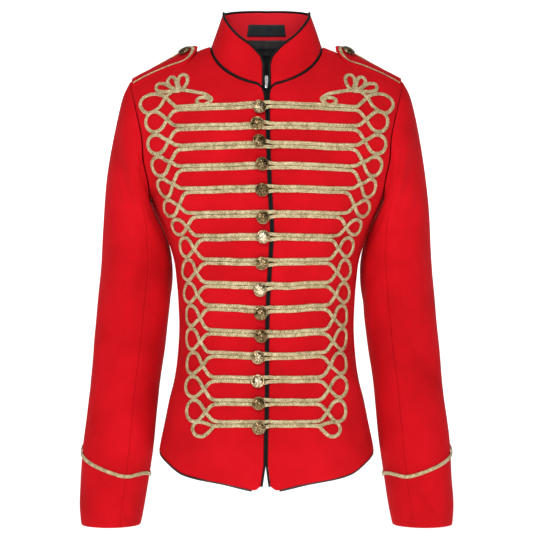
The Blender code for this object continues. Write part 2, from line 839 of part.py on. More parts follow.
def make_slider():
    """The slider with its bail, and the pull tab that swings on the bail about X.

    Both lean with the chest: the slider's own frame has its front face at y 0.
    """
    chest = [body_depth(0.0, SLIDER_TOP - drop, -1) for drop in (0, PULL_LENGTH + 4)]
    lean = math.atan2(chest[1] - chest[0], PULL_LENGTH + 4)
    spot = Vector((0.0, chest[0] - 0.8, SLIDER_TOP))
    turn = Matrix.Rotation(lean, 3, "X")
    block = bmesh.new()
    bmesh.ops.create_cube(block, size=1.0)
    bmesh.ops.scale(block, vec=(SLIDER_WIDTH, 2.8, SLIDER_LENGTH), verts=block.verts)
    bmesh.ops.translate(block, vec=(0, 1.4, -SLIDER_LENGTH / 2), verts=block.verts)
    body = add_object("zip_slider", block, zip_metal(), smooth=False)
    bow = bmesh.new()
    bmesh.ops.create_circle(bow, cap_ends=True, segments=6, radius=0.6)
    bmesh.ops.rotate(bow, verts=bow.verts, cent=(0, 0, 0),
                     matrix=Matrix.Rotation(math.pi / 2, 3, "X"))
    bmesh.ops.translate(bow, vec=(0, 0.5, PIVOT_DROP + 2.6), verts=bow.verts)
    bmesh.ops.spin(bow, geom=list(bow.verts) + list(bow.edges) + list(bow.faces),
                   cent=(0, 0.5, PIVOT_DROP), axis=(1, 0, 0), angle=math.pi, steps=6)
    bail = add_object("bail_form", bow, zip_metal())
    bail.hide_render = True
    bail.display_type = "WIRE"
    join = body.modifiers.new("bail", "BOOLEAN")
    join.operation = "UNION"
    join.object = bail
    pull = make_pull()
    for piece, place in ((body, spot), (bail, spot),
                         (pull, spot + turn @ Vector((0.0, -1.0, PIVOT_DROP)))):
        piece.location = place * MM
        piece.rotation_euler = (lean, 0.0, 0.0)


def make_pull():
    """A flat tab with an eye, made hanging from its swing axis at its own origin."""
    tab = bmesh.new()
    half = SLIDER_WIDTH / 2
    end = -PULL_LENGTH
    outline = [(-half, 0.6), (half, 0.6), (half, end + 1), (half - 1, end), (1 - half, end),
               (-half, end + 1)]
    eye = [(-1.1, -0.5), (1.1, -0.5), (1.1, -4.6), (-1.1, -4.6)]
    edges = []
    for points in (outline, eye):
        verts = [tab.verts.new((x, -0.4, up)) for x, up in points]
        edges += [tab.edges.new(pair) for pair in zip(verts, verts[1:] + verts[:1])]
    bmesh.ops.triangle_fill(tab, edges=edges, use_beauty=True)
    raised = bmesh.ops.extrude_face_region(tab, geom=list(tab.faces), use_keep_orig=True)
    moved = [item for item in raised["geom"] if isinstance(item, bmesh.types.BMVert)]
    bmesh.ops.translate(tab, vec=(0, 0.8, 0), verts=moved)
    return add_object("zip_pull_tab", tab, zip_metal(), smooth=False)


# braid


def row_height(row, share):
    return blend(BRAID_ROWS[row][1], BRAID_ROWS[row][2], soft_step(share))


def front_lines(side):
    """The braid of one front: double rows, and a crossing and an outer loop in each bay."""
    lines = []
    for row, (_, inner, _, _) in enumerate(BRAID_ROWS):
        loop, half = BRAID_LOOPS[min(row, len(BRAID_LOOPS) - 1)]
        edge = EDGE_INSET + 1.2 + side * smooth_value(CLOSING_LINE, inner, 1)
        end = loop - 2 * half - 10
        double = [(blend(edge, end, step / 5), row_height(row, step / 5)) for step in range(6)]
        lines.append((rounded(double, 30), 2 * BRAID_WIDTH - 0.4))
    for bay, (loop, half) in enumerate(BRAID_LOOPS):
        top = BRAID_ROWS[bay][2] - BRAID_WIDTH / 2 + 0.2
        low = BRAID_ROWS[bay + 1][2] + BRAID_WIDTH / 2 - 0.2
        middle = (BRAID_ROWS[bay][3] + BRAID_ROWS[bay + 1][3]) / 2
        tall = (BRAID_ROWS[bay][3] - BRAID_ROWS[bay + 1][3]) / 2 - 0.5
        cross = loop - half - 5
        bend = min(9, tall - 5)
        turns = [math.radians(147 - 49 * step) for step in range(7)]
        ring = [(loop + half * math.cos(turn), middle + tall * math.sin(turn))
                for turn in turns]
        path = [(cross - 20, top), (cross - 12, top - 1), (cross - 5, middle + bend - 4),
                (cross, middle), *reversed(ring), (cross, middle),
                (cross - 5, middle - bend + 4), (cross - 12, low + 1), (cross - 20, low)]
        lines.append((rounded(path, 14), BRAID_WIDTH))
    return lines


def front_ornament():
    """The braid over the top row: an outer loop, three leaves and a scroll by the neck."""
    leaf_foot = (128, -70)
    loop_path = [(138, -95), (150, -95), (160, -91), (169, -82), (180, -76), (191, -80),
                 (194, -90), (188, -98), (177, -98), (167, -92), (158, -82), (149, -73), leaf_foot]
    leaves = [
        [(140, -71), (156, -70), (168, -65), (163, -58), (152, -61), (141, -69)],
        [(137, -69), (148, -61), (149, -51), (141, -49), (136, -58), (134, -69)],
        [(131, -69), (131, -58), (128, -49), (121, -49), (120, -58), (124, -69)],
    ]
    scroll = [leaf_foot, (116, -71), (103, -72.5), (92, -74), (84, -80), (84, -88), (92, -92),
              (100, -88), (98, -83), (93, -84)]
    return [(rounded(path, 11), BRAID_WIDTH) for path in (loop_path, *leaves, scroll)]


def front_tail():
    """The loop that ends the lowest row."""
    out = BRAID_LOOPS[-1][0]
    end = BRAID_ROWS[-1][3]
    path = [(out - 40, end), (out - 30, end), (out - 18, end + 2), (out - 4, end + 1),
            (out + 3, end - 8), (out - 4, end - 18), (out - 16, end - 17), (out - 24, end - 9),
            (out - 30, end - 2)]
    return [(rounded(path, 7), BRAID_WIDTH)]


def make_frogging():
    for name, side in SIDES:
        lines = front_lines(side) + front_ornament() + front_tail()
        braid(f"frogging_{name}", lines, on_front(side), gold_braid())


def make_cuff_braid():
    """Round each cuff: low at the seams, with a peak and a knot on the outer side."""
    for name, side in SIDES:
        line = []
        for step in range(27):
            angle = blend(-179, 179, step / 26)
            away = abs(angle - CUFF_PEAK)
            away = min(away, 360 - away)
            rise = max(0.0, 1 - away / 150) ** 1.25
            dip = 6 * soft_step((away - 130) / 50)
            line.append(Vector((angle / 180 * CUFF_REACH, CUFF_LOW + 48 * rise + dip)))
        peak = CUFF_PEAK / 180 * CUFF_REACH
        top = CUFF_LOW + 46
        knot = rounded([(peak - 2, top), (peak + 9, top + 12), (peak, top + 24),
                        (peak - 9, top + 12), (peak + 2, top)], 7)
        bands = [(line, BRAID_WIDTH), (knot, BRAID_WIDTH)]
        braid(f"cuff_braid_{name}", bands, on_cuff(side), gold_braid())


# shoulder straps


def make_straps():
    for name, side in SIDES:
        place = on_strap(side)
        length = STRAP_OUTER - STRAP_TIP

        def points(u, w, place=place, length=length):
            reach = length * u
            left = length - reach
            narrow = STRAP_HALF_WIDTH * min(1.0, math.sqrt(max(left, 1.2) / 17))
            y = narrow * (2 * w - 1)
            return place(reach, y, 0.0), place(reach, y, -STRAP_WALL)

        wall(f"shoulder_strap_{name}", 10, 4, points, red_cloth())
        inset = 6.5
        half = STRAP_HALF_WIDTH - inset
        end = length - inset
        path = [(4, -half), (30, -half), (60, -half), (end - 14, -half), (end - 4, -half * 0.6),
                (end, 0), (end - 4, half * 0.6), (end - 14, half), (60, half), (30, half), (4, half)]
        braid(f"strap_braid_{name}", [(rounded(path, 11), 5.0)], place, gold_braid())


# buttons


def button_mesh():
    """A domed button with a rim and a shank, turned about Z."""
    half = BUTTON_DIAMETER / 2
    profile = ((0, 0), (3, 0), (3, 2.4), (half - 0.8, 2.6), (half, 4.2), (half * 0.62, 6.4), (0, 7.2))
    turned = bmesh.new()
    verts = [turned.verts.new((out, 0, up)) for out, up in profile]
    edges = [turned.edges.new(pair) for pair in zip(verts, verts[1:])]
    bmesh.ops.spin(turned, geom=verts + edges, cent=(0, 0, 0), axis=(0, 0, 1),
                   angle=2 * math.pi, steps=8, use_merge=True)
    return turned


def add_button(name, place, u, w, off):
    step = 1.0
    along = place(u + step, w, off) - place(u - step, w, off)
    up = place(u, w + step, off) - place(u, w - step, off)
    outward = along.cross(up).normalized()
    if outward.dot(place(u, w, off + 1) - place(u, w, off)) < 0:
        outward.negate()
    turned = button_mesh()
    bmesh.ops.rotate(turned, verts=turned.verts, cent=(0, 0, 0),
                     matrix=outward.to_track_quat("Z", "Y").to_matrix())
    bmesh.ops.translate(turned, verts=turned.verts, vec=place(u, w, off))
    add_object(name, turned, old_brass())


def make_buttons():
    on_braid = SEAT_GAP + BRAID_HEIGHT + 0.4
    for index, ((height, *_), x) in enumerate(zip(BRAID_ROWS, BUTTON_PLACES)):
        add_button(f"button_{index + 1:02d}", on_front(-1), -x, height, on_braid)
    for name, side in SIDES:
        add_button(f"strap_button_{name}", on_strap(side), STRAP_OUTER - 121, 0.0, 0.4)


def main():
    for old in list(bpy.data.objects):
        bpy.data.objects.remove(old, do_unlink=True)
    make_body()
    make_sleeves()
    make_collar()
    make_closing()
    make_frogging()
    make_cuff_braid()
    make_straps()
    make_buttons()


main()
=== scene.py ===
import math

import bmesh
import bpy
from mathutils import Matrix, Vector, noise


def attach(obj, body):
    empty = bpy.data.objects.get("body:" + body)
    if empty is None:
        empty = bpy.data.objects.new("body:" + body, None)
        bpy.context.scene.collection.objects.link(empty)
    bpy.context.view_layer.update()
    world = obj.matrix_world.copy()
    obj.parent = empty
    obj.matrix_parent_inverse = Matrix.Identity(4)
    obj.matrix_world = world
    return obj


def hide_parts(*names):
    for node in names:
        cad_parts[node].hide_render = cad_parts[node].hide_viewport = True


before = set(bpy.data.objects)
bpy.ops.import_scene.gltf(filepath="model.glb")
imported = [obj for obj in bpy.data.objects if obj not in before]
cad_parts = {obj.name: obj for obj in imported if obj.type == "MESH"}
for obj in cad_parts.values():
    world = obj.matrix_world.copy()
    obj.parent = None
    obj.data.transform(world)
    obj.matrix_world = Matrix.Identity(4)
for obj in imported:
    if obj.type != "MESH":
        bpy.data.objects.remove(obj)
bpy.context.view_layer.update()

mm = 0.001
print("frame loaded")


# small helpers

def mix(low, high, share):
    return low + (high - low) * share


def softStep(value):
    value = min(max(value, 0.0), 1.0)
    return value * value * (3 - 2 * value)


def tableValue(rows, at, column):
    # a smooth curve through the rows of a table
    if at <= rows[0][0]:
        return rows[0][column]
    if at >= rows[-1][0]:
        return rows[-1][column]
    low = max(i for i in range(len(rows) - 1) if rows[i][0] <= at)
    a, b, c, d = (rows[min(max(low + shift, 0), len(rows) - 1)] for shift in (-1, 0, 1, 2))
    step = c[0] - b[0]
    t = (at - b[0]) / step
    slopeB = (c[column] - a[column]) / (c[0] - a[0]) * step
    slopeC = (d[column] - b[column]) / (d[0] - b[0]) * step
    return ((2 * t**3 - 3 * t**2 + 1) * b[column] + (t**3 - 2 * t**2 + t) * slopeB
            + (3 * t**2 - 2 * t**3) * c[column] + (t**3 - t**2) * slopeC)


def normalAt(place, u, w):
    step = 0.002
    along = place(min(u + step, 1.0), w) - place(max(u - step, 0.0), w)
    up = place(u, min(w + step, 1.0)) - place(u, max(w - step, 0.0))
    return along.cross(up).normalized()


def ripple(x, y, z, size):
    # a slow wander between -1 and 1, the same at every run
    return noise.noise(Vector((x, y, z)) / size)


def lifted(surface, u, w, off):
    # a point off a surface that is laid out in millimetres
    along = surface(u + 1, w) - surface(u - 1, w)
    up = surface(u, w + 1) - surface(u, w - 1)
    return surface(u, w) + along.cross(up).normalized() * off


def settle(mesh, turn, spot):
    # turned, moved, and brought from millimetres to metres
    bmesh.ops.rotate(mesh, verts=mesh.verts, cent=(0, 0, 0), matrix=turn)
    bmesh.ops.translate(mesh, verts=mesh.verts, vec=spot)
    bmesh.ops.scale(mesh, verts=mesh.verts, vec=(mm, mm, mm))


def closeTube(mesh):
    bmesh.ops.remove_doubles(mesh, verts=mesh.verts, dist=0.000001)
    bmesh.ops.holes_fill(mesh, edges=mesh.edges, sides=12)
    bmesh.ops.recalc_face_normals(mesh, faces=mesh.faces)


def runsAlong(line):
    runs = [0.0]
    for before, after in zip(line, line[1:]):
        runs.append(runs[-1] + (after - before).length)
    return runs


def roundedLine(points, step):
    # a smooth line through points, with a point every step
    last = len(points) - 1
    line = []
    for index in range(last):
        a, b, c, d = (Vector(points[min(max(index + shift, 0), last)]) for shift in (-1, 0, 1, 2))
        pieces = max(1, round((c - b).length / step))
        for piece in range(pieces):
            t = piece / pieces
            line.append(b + 0.5 * t * (c - a + t * (2 * a - 5 * b + 4 * c - d
                                                    + t * (3 * (b - c) + d - a))))
    line.append(Vector(points[last]))
    return line


# materials

def newMaterial(name):
    made = bpy.data.materials.new(name)
    made.use_nodes = True
    made.node_tree.nodes.new("ShaderNodeTexCoord").name = "place"
    return made, made.node_tree


def feed(tree, socket, value):
    # an output is linked, anything else is typed in
    if isinstance(value, bpy.types.NodeSocket):
        tree.links.new(value, socket)
    else:
        socket.default_value = value


def setShader(tree, values):
    for name, value in values.items():
        feed(tree, tree.nodes["Principled BSDF"].inputs[name], value)


def mathNode(tree, operation, first, second=0.5):
    node = tree.nodes.new("ShaderNodeMath")
    node.operation = operation
    feed(tree, node.inputs[0], first)
    feed(tree, node.inputs[1], second)
    return node.outputs[0]


def weighted(tree, *parts):
    # the sum of some outputs, each times its weight
    total = None
    for output, weight in parts:
        scaled = mathNode(tree, "MULTIPLY", output, weight)
        total = mathNode(tree, "ADD", total, scaled) if total else scaled
    return total


def waveNode(tree, value, pitch):
    return mathNode(tree, "SINE", mathNode(tree, "MULTIPLY", value, 2 * math.pi / pitch))


def noiseNode(tree, scale, detail=3.0):
    node = tree.nodes.new("ShaderNodeTexNoise")
    node.inputs["Scale"].default_value = scale
    node.inputs["Detail"].default_value = detail
    tree.links.new(tree.nodes["place"].outputs["Object"], node.inputs["Vector"])
    return node.outputs["Fac"]


def weaveNode(tree):
    uv = tree.nodes.new("ShaderNodeUVMap")
    uv.uv_map = "weave"
    split = tree.nodes.new("ShaderNodeSeparateXYZ")
    tree.links.new(uv.outputs["UV"], split.inputs["Vector"])
    return split.outputs["X"], split.outputs["Y"]


def rampNode(tree, value, stops):
    ramp = tree.nodes.new("ShaderNodeValToRGB")
    tree.links.new(value, ramp.inputs["Fac"])
    points = ramp.color_ramp.elements
    while len(points) < len(stops):
        points.new(0.5)
    for point, (at, colour) in zip(points, stops):
        point.position = at
        point.color = (*colour, 1.0)
    return ramp.outputs["Color"]


def bumpNode(tree, height, strength, distance):
    bump = tree.nodes.new("ShaderNodeBump")
    bump.inputs["Strength"].default_value = strength
    bump.inputs["Distance"].default_value = distance
    tree.links.new(height, bump.inputs["Height"])
    return bump.outputs["Normal"]


clothLook = {
    "base": (0.60, 0.0028, 0.0085),
    "light": (0.70, 0.0045, 0.0125),
    "dark": (0.47, 0.0018, 0.0055),
    "twillPitch": 0.0011,
    "roughness": 0.9,
    "sheen": 0.03,
    "specular": 0.12,
}
# the collar's inside: the same red cloth with painted light, its colour made lighter because the lamps
# reach it less
paintedLightInsideLook = dict(clothLook, base=(0.92, 0.020, 0.034), light=(0.97, 0.026, 0.042),
                  dark=(0.80, 0.014, 0.026))


def twillMaterial(name, look):
    made, tree = newMaterial(name)
    x, y = weaveNode(tree)
    twill = waveNode(tree, mathNode(tree, "ADD", x, y), look["twillPitch"])
    cloudy, fuzz = noiseNode(tree, 14.0, 4.0), noiseNode(tree, 900.0, 2.0)
    stops = ((0.30, look["dark"]), (0.5, look["base"]), (0.70, look["light"]))
    setShader(tree, {
        "Base Color": rampNode(tree, weighted(tree, (cloudy, 0.65), (fuzz, 0.35)), stops),
        "Roughness": look["roughness"],
        "Sheen Weight": look["sheen"],
        "Sheen Tint": (1.0, 0.2, 0.2, 1.0),
        "Specular IOR Level": look["specular"],
        "Normal": bumpNode(tree, weighted(tree, (twill, 0.35), (fuzz, 0.9)), 0.35, 0.0004),
    })
    return made


def satinMaterial(name, colour, roughness, specular):
    made, tree = newMaterial(name)
    low, high = (tuple(part * share for part in colour) for share in (0.75, 1.35))
    setShader(tree, {
        "Base Color": rampNode(tree, noiseNode(tree, 30.0), ((0.3, low), (0.7, high))),
        "Roughness": roughness,
        "Specular IOR Level": specular,
        "Normal": bumpNode(tree, noiseNode(tree, 1400.0, 2.0), 0.25, 0.0002),
    })
    return made


braidLook = {
    "dark": (0.15, 0.10, 0.035),
    "base": (0.52, 0.40, 0.20),
    "light": (0.80, 0.70, 0.44),
    "plaitPitch": 0.0026,
    "plaitSlant": 0.0022,
    "metallic": 0.25,
    "roughness": 0.45,
}


def braidMaterial():
    made, tree = newMaterial("goldBraid")
    x, y = weaveNode(tree)
    slanted = weighted(tree, (x, 1.0), (mathNode(tree, "ABSOLUTE", y), braidLook["plaitSlant"]))
    plait = waveNode(tree, slanted, braidLook["plaitPitch"])
    flecks, patches = noiseNode(tree, 520.0), noiseNode(tree, 110.0, 2.0)
    tone = weighted(tree, (flecks, 0.62), (patches, 0.30), (plait, 0.05))
    stops = ((0.31, braidLook["dark"]), (0.45, braidLook["base"]), (0.58, braidLook["light"]))
    setShader(tree, {
        "Base Color": rampNode(tree, tone, stops),
        "Metallic": braidLook["metallic"],
        "Roughness": braidLook["roughness"],
        "Normal": bumpNode(tree, weighted(tree, (plait, 0.5), (flecks, 1.0)), 0.5, 0.0006),
    })
    return made


brassLook = {
    "recess": (0.022, 0.014, 0.007),
    "face": (0.27, 0.18, 0.08),
    # the brightest brass: rubbed high points, and the painted highlight on buttons turned to the lamps
    "rubbedAndShine": (0.95, 0.84, 0.60),
    "roughness": 0.12,
    "tarnish": 0.35,
}


def brassMaterial():
    made, tree = newMaterial("agedBrass")
    reliefAndShine = tree.nodes.new("ShaderNodeAttribute")
    reliefAndShine.attribute_name = "reliefAndShine"
    tarnish = noiseNode(tree, 420.0, 4.0)
    uneven = mathNode(tree, "SUBTRACT", tarnish, 0.5)
    # the relief attribute carries the raised relief and each button's painted shine: patina in the
    # hollows, rubbed high points, painted highlight and shade
    tone = weighted(tree, (reliefAndShine.outputs["Fac"], 1.0), (uneven, 0.7))
    stops = ((0.12, brassLook["recess"]), (0.48, brassLook["face"]), (0.88, brassLook["rubbedAndShine"]))
    dulled = mathNode(tree, "MULTIPLY", tarnish, brassLook["tarnish"])
    setShader(tree, {
        "Base Color": rampNode(tree, tone, stops),
        "Metallic": 1.0,
        "Roughness": mathNode(tree, "ADD", dulled, brassLook["roughness"]),
        "Normal": bumpNode(tree, tarnish, 0.3, 0.0003),
    })
    return made


def steelMaterial():
    made, tree = newMaterial("zipSteel")
    brushed = noiseNode(tree, 900.0, 2.0)
    stops = ((0.3, (0.42, 0.42, 0.42)), (0.7, (0.72, 0.72, 0.70)))
    setShader(tree, {"Base Color": rampNode(tree, brushed, stops), "Metallic": 1.0,
                     "Roughness": 0.3, "Normal": bumpNode(tree, brushed, 0.2, 0.0001)})
    return made


def stageMaterial():
    made, tree = newMaterial("paleStage")
    stops = ((0.3, (0.90, 0.90, 0.90)), (0.7, (0.93, 0.93, 0.93)))
    setShader(tree, {"Base Color": rampNode(tree, noiseNode(tree, 2.0), stops), "Roughness": 0.9,
                     "Emission Color": (1, 1, 1, 1), "Emission Strength": 0.7})
    return made


redTwill = twillMaterial("redTwill", clothLook)
# the collar's inside cloth, its colour painted lighter to stand in for the light it lacks
paintedLightInsideTwill = twillMaterial("paintedLightInsideTwill", paintedLightInsideLook)
blackSatin = satinMaterial("blackSatin", (0.014, 0.014, 0.015), 0.42, 0.4)
blackPiping = satinMaterial("blackPiping", (0.006, 0.005, 0.005), 0.7, 0.2)
labelSatin = satinMaterial("labelSatin", (0.011, 0.019, 0.022), 0.5, 0.4)
goldBraid = braidMaterial()
agedBrass = brassMaterial()
zipSteel = steelMaterial()
zipDark = satinMaterial("zipDark", (0.010, 0.010, 0.010), 0.4, 0.5)
print("materials made")


# the form of the body, in millimetres; right is the wearer's right, at -x

bodyForm = {
    "armpit": -222.0,
    "chest": -180.0,
    "roundness": 2.25,
    "seamGap": 0.7,
    "neckHalf": 82.0,
    "neckGap": 2.1,
    "neckEdge": 6.6,
    "neckSide": 5.0,
    "neckBackRise": 6.0,
    "neckFrontDrop": 62.0,
    "neckFrontDip": 3.0,
    "neckTipDrop": 12.0,
    "neckMiddle": -14.0,
    "shoulderPoint": 203.0,
    "shoulderDrop": -47.0,
    "edgeInset": 3.1,
    "notchTop": -612.0,
    "notchSpread": 0.14,
    "lowerRows": 13,
    "upperRows": 8,
    "frontNeckShare": 5 / 12,
    "backNeckShare": 5 / 11,
    "hemBack": -601.5,
    "hemHalf": 160,
}
# level sections: height, half width, front depth, back depth
bodySections = (
    (-680, 165, 111, 112), (-601, 159, 108, 110), (-555, 150, 104, 106), (-525, 144, 100, 101),
    (-495, 136.5, 96, 93), (-465, 132, 93, 85), (-420, 129, 92, 79), (-375, 130.5, 95, 80),
    (-345, 133, 98, 84), (-315, 137, 102, 89), (-280, 148, 106, 95), (-250, 161, 109, 99),
    (-225, 172, 111, 102), (-200, 186, 112, 104), (-170, 200, 112, 105), (-140, 208, 111, 105),
    (-100, 218, 109, 103), (-60, 226, 106, 99), (0, 236, 100, 92), (40, 240, 98, 88),
)
closingWander = (
    (-660, -1.5), (-590, -1), (-520, 0.7), (-416, 1), (-359, 3), (-301, 6.5),
    (-272, 8), (-215, 5), (-157, 3), (-100, 1.5), (-58, 0), (60, 0),
)
armholeEdge = (
    (-222, 173.5), (-215, 174), (-200, 175), (-170, 181), (-138, 183), (-115, 187.5),
    (-85, 195), (-60, 201.5), (-47, 203), (20, 205),
)
frontHem = (
    (0, -640), (8, -642), (12, -645.5), (18, -647), (60, -638), (122, -627), (148, -611),
    (160, -601.5),
)
# a side in node names, in piece names, and its direction in x
sides = (("right", "Right", -1), ("left", "Left", 1))


def halfWidth(z):
    return tableValue(bodySections, z, 1)


def ridgeHeight(x):
    out = abs(x) - bodyForm["neckHalf"]
    return bodyForm["neckSide"] - 0.32 * out - (0.00092 * out * out if out > 0 else 0.0)


def neckHeight(angle):
    toward = math.cos(math.radians(angle))
    if toward < 0:
        return bodyForm["neckSide"] + bodyForm["neckBackRise"] * toward**2
    return (bodyForm["neckSide"] - bodyForm["neckFrontDrop"] * toward
            - bodyForm["neckFrontDip"] * toward**8 - bodyForm["neckTipDrop"] * toward**220)


def sectionDepth(x, z, facing):
    share = min(abs(x) / halfWidth(z), 1.0)
    depth = tableValue(bodySections, z, 2 if facing < 0 else 3)
    return depth * (1 - share ** bodyForm["roundness"]) ** (1 / bodyForm["roundness"])


def bodyDepth(x, z, facing):
    depth = sectionDepth(x, z, facing)
    if z > bodyForm["chest"]:
        rise = min((z - bodyForm["chest"]) / (ridgeHeight(x) - bodyForm["chest"]), 1.0)
        power = 2.0 if facing < 0 else 2.4
        depth *= (1 - rise**power) ** (1 / power)
    return facing * (depth + bodyForm["seamGap"] / 2)


def edgeAngle(z):
    if z <= bodyForm["armpit"]:
        return math.pi / 2
    share = min(tableValue(armholeEdge, z, 1) / halfWidth(z), 1.0)
    return math.asin(share ** (bodyForm["roundness"] / 2))


def hemHeight(x, facing):
    out = abs(x)
    if facing > 0:
        return bodyForm["hemBack"] - 3 * (1 - out / bodyForm["hemHalf"])
    return tableValue(frontHem, min(out, bodyForm["hemHalf"]), 1)


def edgeInset(z):
    wide = softStep((z + 78) / 22)
    notch = bodyForm["notchSpread"] * max(bodyForm["notchTop"] - z, 0.0)
    return mix(bodyForm["edgeInset"], bodyForm["neckEdge"], wide) + notch


def panelX(share, z, facing):
    inset = edgeInset(z) * (1 - share) if facing < 0 else 0.0
    return inset + halfWidth(z) * math.sin(share * edgeAngle(z)) ** (2 / bodyForm["roundness"])


def panelStation(share, up, facing, neckShare):
    lower, upper = bodyForm["lowerRows"], bodyForm["upperRows"]
    row = up * (lower + upper)
    if row <= lower:
        z = bodyForm["armpit"]
        for again in range(3):
            x = panelX(share, z, facing)
            z = mix(hemHeight(x, facing), bodyForm["armpit"], row / lower)
        return panelX(share, z, facing), z
    rise = (1 - math.cos(math.pi * (row - lower) / upper)) / 2
    neckEnd = bodyForm["neckHalf"] + bodyForm["neckGap"]
    if share <= neckShare:
        start = math.degrees(math.asin(bodyForm["neckEdge"] / neckEnd)) if facing < 0 else 0.0
        angle = mix(start, 90, share / neckShare)
        topX = neckEnd * math.sin(math.radians(angle))
        level = ridgeHeight(neckEnd) - bodyForm["neckSide"]
        topZ = neckHeight(angle if facing < 0 else 180 - angle) + level
        topZ -= (bodyForm["neckGap"] + level) * math.cos(math.radians(angle))
    else:
        topX = mix(neckEnd, bodyForm["shoulderPoint"], (share - neckShare) / (1 - neckShare))
        topZ = ridgeHeight(topX)
    z = mix(bodyForm["armpit"], topZ, rise)
    x = panelX(share, z, facing)
    late = rise ** (1 + 4 * max(0.0, 1 - 8 * share))  # the closing edges part only near the neck
    return x + late * (topX - panelX(share, topZ, facing)), z


def frontPoint(side, across, up):
    x, z = panelStation(across, up, -1, bodyForm["frontNeckShare"])
    x = side * x + tableValue(closingWander, z, 1) * (1 - across) ** 2
    return Vector((x, bodyDepth(x, z, -1), z))


def backPoint(across, up):
    share = 2 * across - 1
    x, z = panelStation(abs(share), up, 1, bodyForm["backNeckShare"])
    return Vector((math.copysign(x, share), bodyDepth(x, z, 1), z))


# folds of the worn cloth: (x, height, slant in degrees, length, width, depth)
frontFolds = (
    (60, -150, 78, 60, 9, -0.9), (52, -230, 84, 46, 8, -0.9), (48, -415, 80, 60, 8, -1.0),
    (90, -470, 30, 46, 10, -1.2), (76, -300, -20, 50, 11, -1.1), (40, -88, 14, 30, 9, -1.1),
    (150, -262, 38, 60, 13, -2.6), (138, -300, 24, 52, 11, -2.2), (128, -345, 8, 46, 12, -2.0),
    (118, -392, -6, 50, 13, -1.8), (122, -440, -16, 46, 14, -1.9), (128, -500, -42, 60, 15, 1.8),
    (70, -560, -84, 60, 20, 1.6), (104, -585, -80, 55, 17, -1.8), (34, -600, 86, 50, 16, -1.2),
    (172, -175, 66, 48, 10, -2.2), (160, -215, 52, 44, 10, -1.8), (120, -120, 30, 60, 20, 1.0),
    (36, -300, 4, 50, 9, -0.8), (30, -372, -3, 42, 8, -0.7), (40, -470, 5, 50, 9, -0.8),
)
backFolds = (
    (0, -430, 0, 95, 12, -2.4), (0, -392, 0, 80, 11, -2.0), (60, -345, 18, 60, 12, -2.2),
    (-64, -352, -16, 62, 12, -2.2), (112, -300, 34, 60, 13, -2.4), (-110, -294, -32, 60, 13, -2.4),
    (150, -215, 60, 55, 12, -2.2), (-150, -220, -60, 55, 12, -2.2), (90, -540, -80, 60, 18, 2.2),
    (-84, -545, 82, 60, 18, 2.0), (20, -560, 88, 60, 17, -2.0), (-34, -556, -86, 55, 15, -1.6),
    (70, -120, 12, 80, 22, 1.4), (-74, -126, -12, 80, 22, 1.4),
)


def foldDepth(folds, x, z):
    # soft troughs and ridges, uneven along their length
    total = 0.0
    for foldX, foldZ, slant, length, width, depth in folds:
        reach = length + 2 * width
        if abs(x - foldX) > reach or abs(z - foldZ) > reach:
            continue
        turn = math.radians(slant)
        along = (x - foldX) * math.cos(turn) + (z - foldZ) * math.sin(turn)
        off = (z - foldZ) * math.cos(turn) - (x - foldX) * math.sin(turn)
        off += 5 * ripple(along, foldZ, 0, 38)
        total += depth * math.exp(-(off / width) ** 2 - (along / length) ** 2)
    return total


def bodyFold(x, z, facing):
    if facing < 0:
        fold = foldDepth(frontFolds, abs(x), z + (7 if x < 0 else 0))
    else:
        fold = foldDepth(backFolds, x, z)
    fold += 1.7 * ripple(x, 40 * facing, z * 0.7, 70) + 0.9 * ripple(x, 90 * facing, z, 27)
    fold += 0.4 * ripple(x, 50 * facing, z * 0.6, 12)
    return fold


# one piece of cloth: a grid laid on its form, thickened inward and lined

def clothPiece(name, nodes, place, facing, columns, rows, size, offset=None, tight=0.72,
               finish=None, lining=None, thickness=2.0, tightRows=0.0):
    mesh = bmesh.new()
    layer = mesh.loops.layers.uv.new("weave")
    bmesh.ops.create_grid(mesh, x_segments=columns, y_segments=rows, size=0.5)
    laid = {}
    for vert in mesh.verts:
        u, w = vert.co.x + 0.5, vert.co.y + 0.5
        u -= tight * math.sin(2 * math.pi * u) / (2 * math.pi)  # closer rows by the seams
        w -= tightRows * math.sin(2 * math.pi * w) / (2 * math.pi)
        laid[vert] = (min(max(u, 0.0), 1.0), min(max(w, 0.0), 1.0))
    for vert in mesh.verts:
        for loop in vert.link_loops:
            u, w = laid[vert]
            loop[layer].uv = (u * size[0] * mm, w * size[1] * mm)
    for vert, (u, w) in laid.items():
        point = place(u, w)
        if offset:
            point = point + normalAt(place, min(max(u, 0.001), 0.999), min(max(w, 0.001), 0.999)) \
                * facing * offset(u, w, point)
        vert.co = point * mm
    if facing < 0:
        bmesh.ops.reverse_faces(mesh, faces=mesh.faces)
    return finishMesh(name, mesh, nodes, finish or redTwill, lining or blackSatin, thickness)


def finishMesh(name, mesh, nodes, finish, lining=None, thickness=0.0, body="jacket"):
    data = bpy.data.meshes.new(name)
    mesh.to_mesh(data)
    mesh.free()
    data.shade_smooth()
    data.materials.append(finish)
    piece = bpy.data.objects.new(name, data)
    bpy.context.collection.objects.link(piece)
    if thickness:
        data.materials.append(lining)
        solid = piece.modifiers.new("thickness", "SOLIDIFY")
        solid.thickness = thickness * mm
        solid.offset = -1
        solid.material_offset = 1
        solid.material_offset_rim = 0
    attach(piece, body)
    if nodes:
        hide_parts(*nodes)
    return piece


def seamPull(distance, depth=0.75, width=2.4):
    return -depth * math.exp(-(distance / width) ** 2)


def pucker(distance, along, reach=13, depth=0.45, pitch=15):
    wave = math.sin(2 * math.pi * (along / pitch + 0.6 * ripple(along, 7, 3, 40)))
    return depth * math.exp(-distance / reach) * wave * (0.6 + 0.4 * ripple(along, 1, 9, 25))


# fronts, back and the lining behind the neck

bodyPieces = {"columns": 62, "rows": 150, "backColumns": 96}
liningForm = {"across": (8 / 22, 14 / 22), "up": (14 / 21, 20 / 21), "behind": 2.9, "wall": 1.0}


